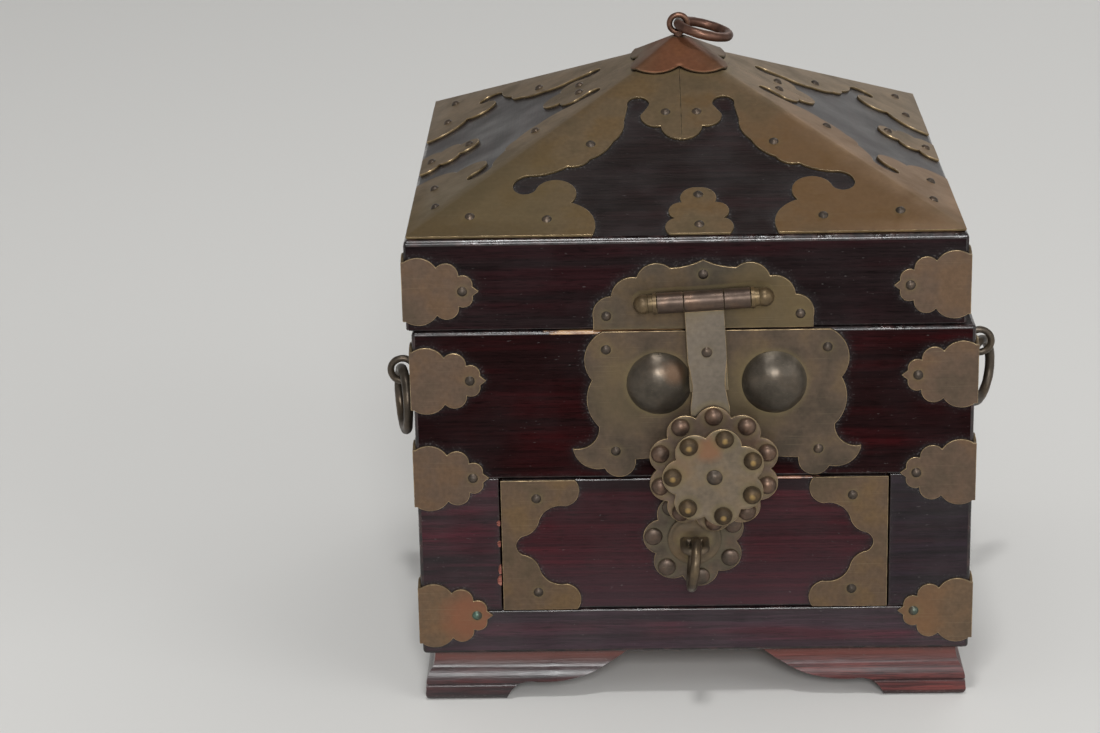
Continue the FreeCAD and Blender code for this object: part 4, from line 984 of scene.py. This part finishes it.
# Cast and drawn pieces: bosses, hinge pin, rivets, nails, eyes and rings, all a little uneven
roundPieces = {
    "lockBosses": dict(node="lock_plate_bosses", body="carcass", slot="dark_brass", face=bossBrass,
                       dents=(5.0, 0.3)),
    "haspPin": dict(node="hasp_pin", body="lid", slot="dark_brass", face=finialBrass, dents=(2.5, 0.08)),
    "rosettePost": dict(node="rosette_post", body="hasp", slot="dark_nail", face=nailMetal,
                        dents=(1.2, 0.1)),
    "strapRivet": dict(node="strap_rivet", body="hasp", slot="dark_nail", face=nailMetal,
                       dents=(1.0, 0.1)),
    "carcassNails": dict(node="carcass_nails", body="carcass", slot="dark_nail", face=nailMetal,
                         dents=(1.0, 0.14)),
    "lidNails": dict(node="lid_nails", body="lid", slot="dark_nail", face=nailMetal, dents=(1.0, 0.14)),
    "drawerNails": dict(node="drawer_nails", body="drawer", slot="dark_nail", face=nailMetal,
                        dents=(1.0, 0.14)),
    "pullEye": dict(node="drawer_pull_eye", body="drawer", slot="wire_brass", face=eyeBrass,
                    dents=(1.5, 0.12)),
    "pullRing": dict(node="drawer_pull_ring", body="pull_ring", slot="wire_brass", face=pullBrass,
                     dents=(1.5, 0.16)),
    "topEye": dict(node="top_eye", body="lid", slot="wire_brass", face=topRingBronze, dents=(1.5, 0.12)),
    "topRing": dict(node="top_ring", body="lid_ring", slot="wire_brass", face=topRingBronze,
                    dents=(2.0, 0.16)),
    "leftEye": dict(node="side_eye_left", body="carcass", slot="wire_brass", face=wireBrass,
                    dents=(1.5, 0.12)),
    "rightEye": dict(node="side_eye_right", body="carcass", slot="wire_brass", face=wireBrass,
                     dents=(1.5, 0.12)),
    "leftRing": dict(node="side_ring_left", body="left_ring", slot="wire_brass", face=wireBrass,
                     dents=(2.0, 0.16)),
    "rightRing": dict(node="side_ring_right", body="right_ring", slot="wire_brass", face=wireBrass,
                      dents=(2.0, 0.16)),
}
for name, part in roundPieces.items():
    piece = copyNode(part["node"], name, flat=False)
    dress(piece, part["face"])
    size, depth = part["dents"]
    dent(piece, size * mm, depth * mm)
    finishPiece(piece, part["body"], part["slot"], part["node"], smooth=55)
print("round pieces dented")

# Pieces that keep their plain shape
plainNodes = {"bottom_board": insideWood["X"], "compartment_floor": insideWood["X"],
              "drawer_guides": insideWood["Y"], "drawer_sides": insideWood["Y"],
              "drawer_back": insideWood["X"], "drawer_bottom": insideWood["Y"],
              "hinge_leaves_carcass": wireBrass, "hinge_leaves_lid": wireBrass, "hinge_pins": wireBrass}
for node, material in plainNodes.items():
    dress(frame["nodes"][node], material)
print("plain nodes dressed")

# Floor and light
floorPlate = dict(size=6.0, colour="#d3d2cf")


def addFloor(settings):
    deselectAll()
    bpy.ops.mesh.primitive_plane_add(size=settings["size"], location=(0, 0, 0))
    floor = bpy.context.object
    floor.name = "studioFloor"
    material = bpy.data.materials.new("mattPaper")
    material.use_nodes = True
    shader = material.node_tree.nodes["Principled BSDF"]
    shader.inputs["Base Color"].default_value = linear(settings["colour"])
    shader.inputs["Roughness"].default_value = 0.9
    shader.inputs["Specular IOR Level"].default_value = 0.1
    floor.data.materials.append(material)


addFloor(floorPlate)
studio = dict(horizon="#c4c3c0", middle="#8c8b8a", zenith="#565655", ambient=0.42, aim=(0, 0, 0.06))
lamps = {
    "keyLamp": dict(place=(0.08, -2.5, 1.26), size=0.64, power=40.0),
    "edgeLamp": dict(place=(-0.06, -0.45, 1.25), size=0.12, power=4.5),
    "sideLamp": dict(place=(0.9, -0.7, 0.6), size=0.7, power=3.0),
    "backLamp": dict(place=(0.5, 0.95, 0.8), size=0.6, power=1.8),
}


def addStudio(settings, lampList):
    scene.view_settings.view_transform = "Standard"
    world = bpy.data.worlds.new("studioWorld")
    scene.world = world
    world.use_nodes = True
    tree = world.node_tree
    tree.nodes.clear()
    path = addNode(tree, "ShaderNodeLightPath")
    shown = addNode(tree, "ShaderNodeMath", {
        0: path.outputs["Is Camera Ray"], 1: path.outputs["Is Glossy Ray"]}, operation="MAXIMUM")
    shown = addNode(tree, "ShaderNodeMath", {0: shown.outputs[0], 1: path.outputs["Is Transmission Ray"]},
                    operation="MAXIMUM")
    direction = addNode(tree, "ShaderNodeTexCoord").outputs["Generated"]
    height = addNode(tree, "ShaderNodeSeparateXYZ", {"Vector": direction}).outputs["Z"]
    wall = addNode(tree, "ShaderNodeValToRGB", {"Fac": height},
                   stops=[(0.0, settings["horizon"]), (0.5, settings["middle"]), (1.0, settings["zenith"])])
    light = addNode(tree, "ShaderNodeBackground", {
        "Color": linear("#ffffff"), "Strength": settings["ambient"]})
    seen = addNode(tree, "ShaderNodeBackground", {"Color": wall.outputs[0], "Strength": 1.0})
    mix = addNode(tree, "ShaderNodeMixShader", {
        0: shown.outputs[0], 1: light.outputs[0], 2: seen.outputs[0]})
    addNode(tree, "ShaderNodeOutputWorld", {"Surface": mix.outputs[0]})
    for name, lamp in lampList.items():
        data = bpy.data.lights.new(name, "AREA")
        data.size = lamp["size"]
        data.energy = lamp["power"]
        made = bpy.data.objects.new(name, data)
        scene.collection.objects.link(made)
        made.location = lamp["place"]
        aim = Vector(settings["aim"]) - Vector(lamp["place"])
        made.rotation_euler = aim.to_track_quat("-Z", "Y").to_euler()


addStudio(studio, lamps)
print("studio lit")
